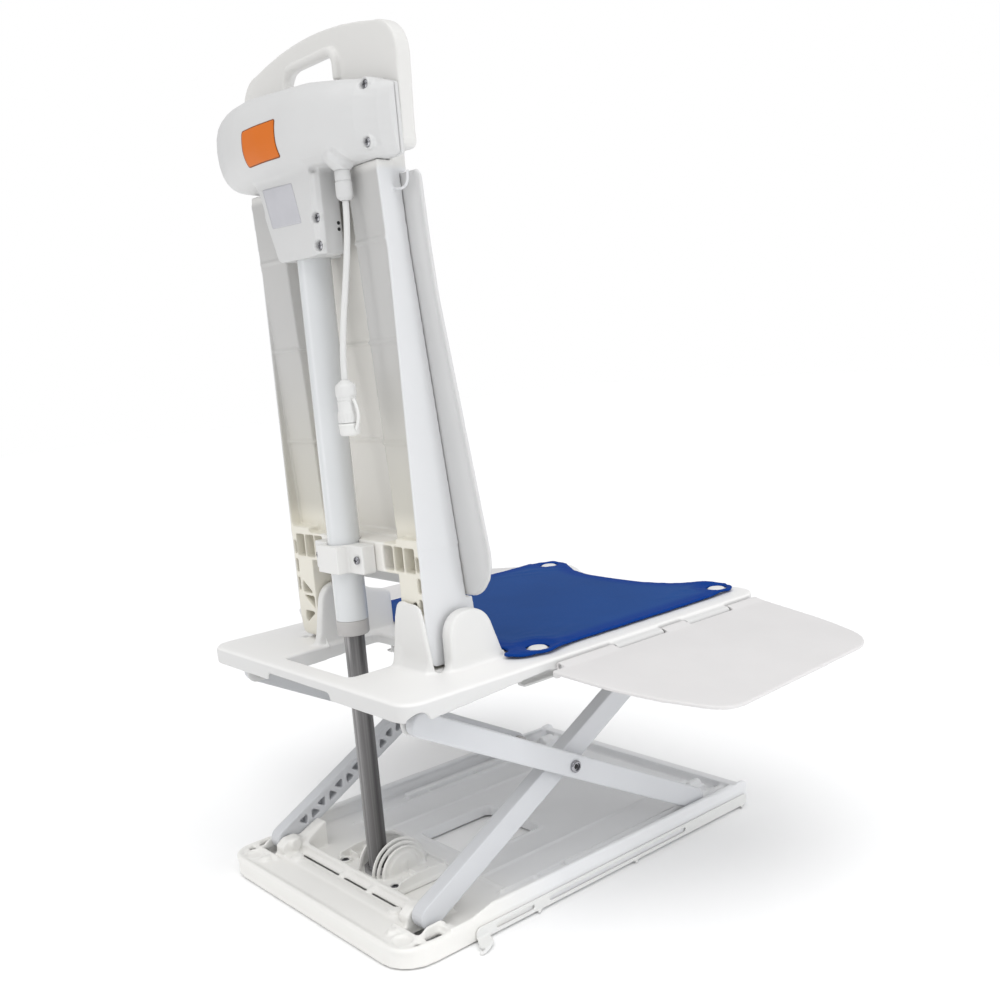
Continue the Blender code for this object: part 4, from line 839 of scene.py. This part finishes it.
extra = Shape()
extra.turned("Z", -82.5, 176, [(770.8, 8.4), (772.0, 9.4), (774.5, 11.6), (778.0, 14.6), (782.0, 17.0), (788.0, 18.0)], 40)
for lo, hi in ((694.8, 697.3), (709.7, 724.8), (737.2, 774)):
    extra.prism([(-34, 191.8), (-45, 191.2), (-51.0, 188.8), (-53.9, 184.5), (-34, 183)], lo, hi, "XY")
extra.box((-54.2, -51.6), (164.2, 185.4), (695.2, 771))
cuts = Shape().ring("Z", -82.5, 176, [(769, 8.2), (777, 8.2), (777, 13), (769, 13)], 40)
rear = soften(
    "housing_rear", SHELL, extra, cuts, voxel=1.0, rounds=5, weight=off_seam, faces=70000, push=dimple,
    more=((70, crease), (14, within((-100, 158, 772), (-62, 194, 786), 4)), (160, within((-104, 186, 796), (90, 225, 846), 9))),
)
soften("housing_front", SHELL, None, None, voxel=1.0, rounds=5, weight=off_seam, faces=30000)

# Two black discs on the neck's flank paint the shade of its two holes.
for z in (724.8, 718.6):
    dot = Shape().turned("X", 168.2, z, [(-54.5, 1.7), (-54.3, 1.9), (-51.6, 1.9)], 24)
    solid(f"neck_hole_{int(z)}", dot, HOLE_PAINTED_SHADE, body="seat")


def patch(name, corners, mat, thickness, lift, inset=0.0, corner=3.0, count=26):
    """A thin blank film laid on the back of the housing, between four corners given as (x, z)."""
    tree = BVHTree.FromObject(rear, bpy.context.evaluated_depsgraph_get())
    a, b, c, d = [Vector(p) for p in corners]
    wide, tall = ((b - a).length + (c - d).length) / 2, ((d - a).length + (c - b).length) / 2
    us = [inset / wide + (1 - 2 * inset / wide) * k / count for k in range(count + 1)]
    vs = [inset / tall + (1 - 2 * inset / tall) * k / count for k in range(count + 1)]
    bm = bmesh.new()
    grid = []
    for j, v in enumerate(vs):
        row = []
        for i, u in enumerate(us):
            x, y = u * wide, v * tall
            dx = max(corner + inset - x, x - (wide - inset - corner), 0)
            dy = max(corner + inset - y, y - (tall - inset - corner), 0)
            if dx > 0 and dy > 0 and math.hypot(dx, dy) > corner:
                shrink = corner / math.hypot(dx, dy)
                x += (dx - dx * shrink) * (1 if x < wide / 2 else -1)
                y += (dy - dy * shrink) * (1 if y < tall / 2 else -1)
            p = a.lerp(b, x / wide).lerp(d.lerp(c, x / wide), y / tall)
            hit, normal, _, _ = tree.ray_cast(Vector((p.x * MM, 0.4, p.y * MM)), Vector((0, -1, 0)))
            row.append(bm.verts.new(hit + normal * lift * MM))
        grid.append(row)
    for low, high in zip(grid, grid[1:]):
        for k in range(count):
            bm.faces.new((low[k], low[k + 1], high[k + 1], high[k]))
    bmesh.ops.recalc_face_normals(bm, faces=bm.faces)
    mesh = bpy.data.meshes.new(name)
    bm.to_mesh(mesh)
    bm.free()
    if mesh.polygons[0].normal.y < 0:
        mesh.flip_normals()
    obj = linked(name, mesh)
    mod = obj.modifiers.new("Solidify", "SOLIDIFY")
    mod.thickness = thickness * MM
    mod.offset = -1
    baked(obj)
    dress(obj, mat, body="seat")
    return obj


orange = [(-29.1, 829.0), (-21.1, 793.1), (39.4, 792.5), (23.6, 824.2)]
orange = [(orange[3][0] + 6, orange[3][1] + 3), (orange[0][0], orange[0][1]), (orange[1][0] - 2, orange[1][1]), (orange[2][0] - 1, orange[2][1])]
patch("blank_patch_border", orange, PATCH_EDGE, 0.3, 0.25)
patch("blank_patch_orange", orange, PATCH_ORANGE, 0.3, 0.38, inset=1.0, corner=2.2)
silver = [(48, 772.2), (-11.7, 770.2), (-23.4, 728.9), (35.1, 730.2)]
patch("blank_patch_silver", silver, PATCH_SILVER, 0.25, 0.25, corner=2.0)


# ---------------------------------------------------------------- lead

TOP, END = Vector((-82.5, 176.0, 742.0)), Vector((-71.0, 191.0, 569.0))


def lead_point(t):
    ease = t * t * (3 - 2 * t)
    return Vector((TOP.x + (END.x - TOP.x) * ease, TOP.y + (END.y - TOP.y) * ease, TOP.z + (END.z - TOP.z) * t))


COUNT = 60
line = [lead_point(k / COUNT) for k in range(COUNT + 1)]
curve = bpy.data.curves.new("lead", "CURVE")
curve.dimensions = "3D"
curve.bevel_depth = 3.2 * MM
curve.bevel_resolution = 8
curve.use_fill_caps = True
spline = curve.splines.new("POLY")
spline.points.add(COUNT)
for point, p in zip(spline.points, line):
    point.co = (p.x * MM, (p.y + MIDDLE_Y) * MM, p.z * MM, 1.0)
lead = bpy.data.objects.new("lead", curve)
bpy.context.scene.collection.objects.link(lead)
spline.use_smooth = True
dress(lead, LEAD, "cord")

gland = Shape().turned("Z", TOP.x, TOP.y, [
    (770.9, 7.6), (770.4, 7.9), (764.0, 8.0), (761.4, 8.0), (761.0, 7.5), (760.2, 7.5), (759.8, 8.4), (748.0, 8.4), (746.2, 8.1),
    (744.4, 7.1), (743.2, 5.8), (742.3, 4.7), (742.3, 4.2), (744.0, 3.6), (744.0, 0.05),
], 64)
solid("gland_detailed", gland, SHELL, "cable_gland")
cz = END.z
plug = Shape().turned("Z", END.x, END.y, [
    (cz - 0.3, 0.05), (cz - 0.3, 4.2), (cz - 1.6, 5.4), (cz - 3.0, 7.2), (cz - 4.4, 9.0), (cz - 6.0, 10.2), (cz - 8, 10.55), (cz - 15.6, 10.6),
    (cz - 16.4, 10.2), (cz - 17.0, 9.7), (cz - 20, 9.7), (cz - 20.4, 9.2), (cz - 21.2, 9.2), (cz - 21.6, 9.7), (cz - 30.6, 9.6),
    (cz - 31.4, 10.0), (cz - 32.0, 10.4), (cz - 42.4, 10.4), (cz - 43.0, 9.8), (cz - 43.0, 0.05),
], 64)
for k in range(18):
    t = 2 * math.pi * k / 18
    plug.rod([(END.x + 10.35 * math.cos(t), END.y + 10.35 * math.sin(t), cz - 33.5), (END.x + 10.35 * math.cos(t), END.y + 10.35 * math.sin(t), cz - 41.2)], 0.45, 8)
plug_obj = solid("connector_detailed", plug, LEAD, "connector")
cap = Shape().turned("Z", END.x, END.y, [
    (cz - 43.4, 0.05), (cz - 43.4, 9.8), (cz - 44.2, 10.7), (cz - 45.4, 10.9), (cz - 46.2, 10.4), (cz - 53.2, 10.2), (cz - 54.8, 9.6), (cz - 56, 8.0), (cz - 56, 0.05),
], 64)
strap = []
for k in range(25):
    t = k / 24
    strap.append((END.x - 9.4 - 6.5 * math.sin(math.pi * (0.12 + 0.76 * t)), END.y - 1.5 * math.sin(math.pi * t), cz - 49.5 + 30 * t))
cap.rod(strap, 1.6, 14)
cap_obj = solid("connector_cap_detailed", cap, RUBBER, "connector_cap")


# ---------------------------------------------------------------- seat mat

PEGS = [(152, -261), (-152, -261), (160, 44), (-160, 44)]
half = (
    [(0.0, -236.0), (50.0, -239.0), (88.0, -250.0), (118.0, -270.0)]
    + [(152 + 25 * math.cos(math.radians(t)), -261 + 25 * math.sin(math.radians(t))) for t in range(-120, 11, 13)]
    + [(177.0, -236.0), (177.0, 12.0)]
    + [(160 + 28 * math.cos(math.radians(t)), 44 + 28 * math.sin(math.radians(t))) for t in range(-40, 41, 16)]
    + [(176.0, 80.0), (166.0, 90.0), (151.0, 91.0), (149.0, 72.0), (90.0, 72.0), (88.0, 61.5), (64.0, 61.5), (60.0, 76.0), (0.0, 80.0)]
)
outline = half + [(-x, y) for x, y in half[1:-1]][::-1]


def evenly(loop, step):
    """Points at an even spacing around a closed loop, after its corners are eased."""
    pts = [Vector(p) for p in loop]
    ring = []
    for a, b in zip(pts, pts[1:] + pts[:1]):
        n = max(1, round((b - a).length / step))
        ring += [a.lerp(b, k / n) for k in range(n)]
    for _ in range(4):
        ring = [(ring[k - 1] + ring[k] * 2 + ring[(k + 1) % len(ring)]) / 4 for k in range(len(ring))]
    return ring


def inside(p, loop):
    odd = False
    for a, b in zip(loop, loop[1:] + loop[:1]):
        if (a.y > p.y) != (b.y > p.y) and p.x < a.x + (p.y - a.y) * (b.x - a.x) / (b.y - a.y):
            odd = not odd
    return odd


STEP = 6.0
rim = evenly(outline, STEP)
holes = [evenly([(x + 12.4 * math.cos(2 * math.pi * k / 24), y + 12.4 * math.sin(2 * math.pi * k / 24)) for k in range(24)], 4.0) for x, y in PEGS]
points, edges = [], []
for loop in [rim] + holes:
    first = len(points)
    points += loop
    edges += [(first + k, first + (k + 1) % len(loop)) for k in range(len(loop))]
border = np.array([p[:] for p in points])
row = 0
y = -290.0
while y < 96:
    x = -185.0 + (STEP / 2 if row % 2 else 0)
    while x < 185:
        p = Vector((x, y))
        if inside(p, rim) and not any((p - Vector(c)).length < 15 for c in PEGS) and np.hypot(*(border - (x, y)).T).min() > STEP * 0.6:
            points.append(p)
        x += STEP
    y += STEP * 0.866
    row += 1
flat, _, triangles, _, _, _ = delaunay_2d_cdt(points, edges, [], 0, 1e-6)
kept = []
for tri in triangles:
    middle = sum((flat[k] for k in tri), Vector((0, 0))) / 3
    if inside(middle, rim) and not any(inside(middle, hole) for hole in holes):
        kept.append(tuple(tri))
used = sorted({k for tri in kept for k in tri})
index = {k: i for i, k in enumerate(used)}
sheet_points = [(flat[k].x * MM, (flat[k].y + MIDDLE_Y) * MM, 0.26875) for k in used]
mesh = bpy.data.meshes.new("seat_mat")
mesh.from_pydata(sheet_points, [], [tuple(index[k] for k in tri) for tri in kept])
mesh.update()
if mesh.polygons[0].normal.z < 0:
    mesh.flip_normals()
seat_mat = linked("seat_mat", mesh)
reach = np.array([flat[k][:] for k in used])
edge_gap = np.min(np.hypot(reach[:, None, 0] - border[None, :, 0], reach[:, None, 1] - border[None, :, 1]), axis=1)

# The mat is cut a little larger than the room between its pegs, laid on the deck and left to settle.
ground_mesh = bpy.data.meshes.new("deck_plane")
ground_mesh.from_pydata([(-0.6, -0.6, 0.2682), (0.6, -0.6, 0.2682), (0.6, 0.6, 0.2682), (-0.6, 0.6, 0.2682)], [], [(0, 1, 2, 3)])
ground = linked("deck_plane", ground_mesh)
ground.modifiers.new("Collision", "COLLISION")
ground.collision.thickness_outer = 0.0004
ground.collision.cloth_friction = 8.0
pins = seat_mat.vertex_groups.new(name="pins")
for i, p in enumerate(reach):
    if min(math.hypot(p[0] - x, p[1] - y) for x, y in PEGS) < 22:
        pins.add([i], 1.0, "REPLACE")
    else:
        x, y = p
        seat_mat.data.vertices[i].co.z += 0.0009 * (1 + math.sin(x * 0.031 + y * 0.012) * math.sin(y * 0.024 - x * 0.009))
cloth = seat_mat.modifiers.new("Cloth", "CLOTH")
cloth.settings.quality = 8
cloth.settings.mass = 0.25
cloth.settings.tension_stiffness = 25
cloth.settings.compression_stiffness = 25
cloth.settings.shear_stiffness = 12
cloth.settings.bending_stiffness = 9.0
cloth.settings.air_damping = 2.0
cloth.settings.vertex_group_mass = "pins"
cloth.settings.shrink_min = -0.004
cloth.settings.shrink_max = -0.004
cloth.collision_settings.distance_min = 0.0008
cloth.collision_settings.collision_quality = 3
last = 36
cloth.point_cache.frame_start = 1
cloth.point_cache.frame_end = last
for number in range(1, last + 1):
    bpy.context.scene.frame_set(number)
baked(seat_mat)
bpy.context.scene.frame_set(1)
bpy.data.objects.remove(ground, do_unlink=True)
mesh = seat_mat.data
low = np.empty(len(mesh.vertices) * 3)
mesh.vertices.foreach_get("co", low)
low = low.reshape(-1, 3)
low[:, 2] = np.clip(low[:, 2], 0.26855, 0.2722)
mesh.vertices.foreach_set("co", low.ravel())
relax(mesh, 1)
# Painted shade: the cloth's colour darkens fully within about 13 mm of its edge and fades out by 25 mm, in place of the
# shade of a curled-down edge.
painted_hem_shade = mesh.attributes.new("painted_hem_shade", "FLOAT", "POINT")
painted_hem_shade.data.foreach_set("value", np.clip(2.1 - edge_gap / 12.0, 0, 1))
mod = seat_mat.modifiers.new("Solidify", "SOLIDIFY")
mod.thickness = 0.0030
mod.offset = 1.0
mod = seat_mat.modifiers.new("Rounding", "SUBSURF")
mod.levels = mod.render_levels = 1
baked(seat_mat)
dress(seat_mat, MAT_BLUE, "seat_cover")


# ---------------------------------------------------------------- stage, light, camera

floor_mesh = bpy.data.meshes.new("floor")
floor_mesh.from_pydata([(-9, -9, -0.0006), (9, -9, -0.0006), (9, 9, -0.0006), (-9, 9, -0.0006)], [], [(0, 1, 2, 3)])
floor = linked("floor", floor_mesh)
floor.data.materials.append(plastic("floor_pale", (0.99, 0.99, 0.99), 0.8, specular=0.0, mottle=0.0, grain=0.0))

world = bpy.data.worlds.new("studio")
bpy.context.scene.world = world
world.use_nodes = True
nodes, links = world.node_tree.nodes, world.node_tree.links
sky = nodes["Background"]
sky.inputs["Color"].default_value = (0.985, 0.99, 1.0, 1)
sky.inputs["Strength"].default_value = 0.56
backdrop = nodes.new("ShaderNodeBackground")
backdrop.inputs["Color"].default_value = (1.0, 1.0, 1.0, 1)
backdrop.inputs["Strength"].default_value = 1.0
seen = nodes.new("ShaderNodeLightPath")
blend = nodes.new("ShaderNodeMixShader")
links.new(seen.outputs["Is Camera Ray"], blend.inputs["Fac"])
links.new(sky.outputs["Background"], blend.inputs[1])
links.new(backdrop.outputs["Background"], blend.inputs[2])
links.new(blend.outputs["Shader"], nodes["World Output"].inputs["Surface"])


def lamp(name, at, aim, size, power, colour=(1, 1, 1)):
    data = bpy.data.lights.new(name, "AREA")
    data.shape = "DISK"
    data.size = size
    data.energy = power
    data.color = colour
    obj = bpy.data.objects.new(name, data)
    bpy.context.scene.collection.objects.link(obj)
    obj.location = at
    obj.rotation_euler = (Vector(aim) - Vector(at)).to_track_quat("-Z", "Y").to_euler()
    return obj


def strip(name, at, aim, wide, tall, power, colour=(1, 1, 1)):
    """A tall soft box."""
    obj = lamp(name, at, aim, wide, power, colour)
    obj.data.shape = "RECTANGLE"
    obj.data.size, obj.data.size_y = wide, tall
    return obj


sun = bpy.data.lights.new("overhead", "SUN")
sun.energy = 1.65
sun.angle = math.radians(70)
overhead = bpy.data.objects.new("overhead", sun)
bpy.context.scene.collection.objects.link(overhead)
overhead.rotation_euler = Vector((0.30, -0.20, -1.0)).to_track_quat("-Z", "Y").to_euler()
strip("strip_left", (0.9, 2.1, 0.9), (0, 0.15, 0.45), 0.5, 1.8, 5.0)
fill = strip("strip_right", (-2.3, -0.3, 0.7), (0, 0.0, 0.25), 0.5, 1.4, 10.0, (0.95, 0.975, 1.0))
fill.visible_glossy = False
card = strip("card_left", (1.28, 1.72, 0.55), (0, 0.18, 0.42), 3.0, 1.9, 50.0)
card.visible_diffuse = card.visible_camera = False
polished = bpy.data.collections.new("polished")
polished.objects.link(rod)
card.light_linking.receiver_collection = polished

az, el, distance, roll = math.radians(230.31), math.radians(7.82), 1.28667, math.radians(-5.04)
target = Vector((-0.06631, 0.012, 0.41709))
back = Vector((math.sin(az) * math.cos(el), -math.cos(az) * math.cos(el), math.sin(el)))
right = (-back).cross(Vector((0, 0, 1))).normalized()
up = right.cross(-back)
x_col = right * math.cos(roll) + up * math.sin(roll)
y_col = up * math.cos(roll) - right * math.sin(roll)
cam = bpy.data.cameras.new("camera")
cam.sensor_width = 36.0
cam.sensor_fit = "HORIZONTAL"
cam.lens = 1142.59 / 1000 * 36.0
cam.clip_start = 0.05
camera = bpy.data.objects.new("camera", cam)
bpy.context.scene.collection.objects.link(camera)
place = Matrix((x_col, y_col, back)).transposed().to_4x4()
place.translation = target + back * distance
camera.matrix_world = place
bpy.context.scene.camera = camera
bpy.context.scene.view_settings.view_transform = "Standard"
bpy.context.scene.view_settings.look = "None"
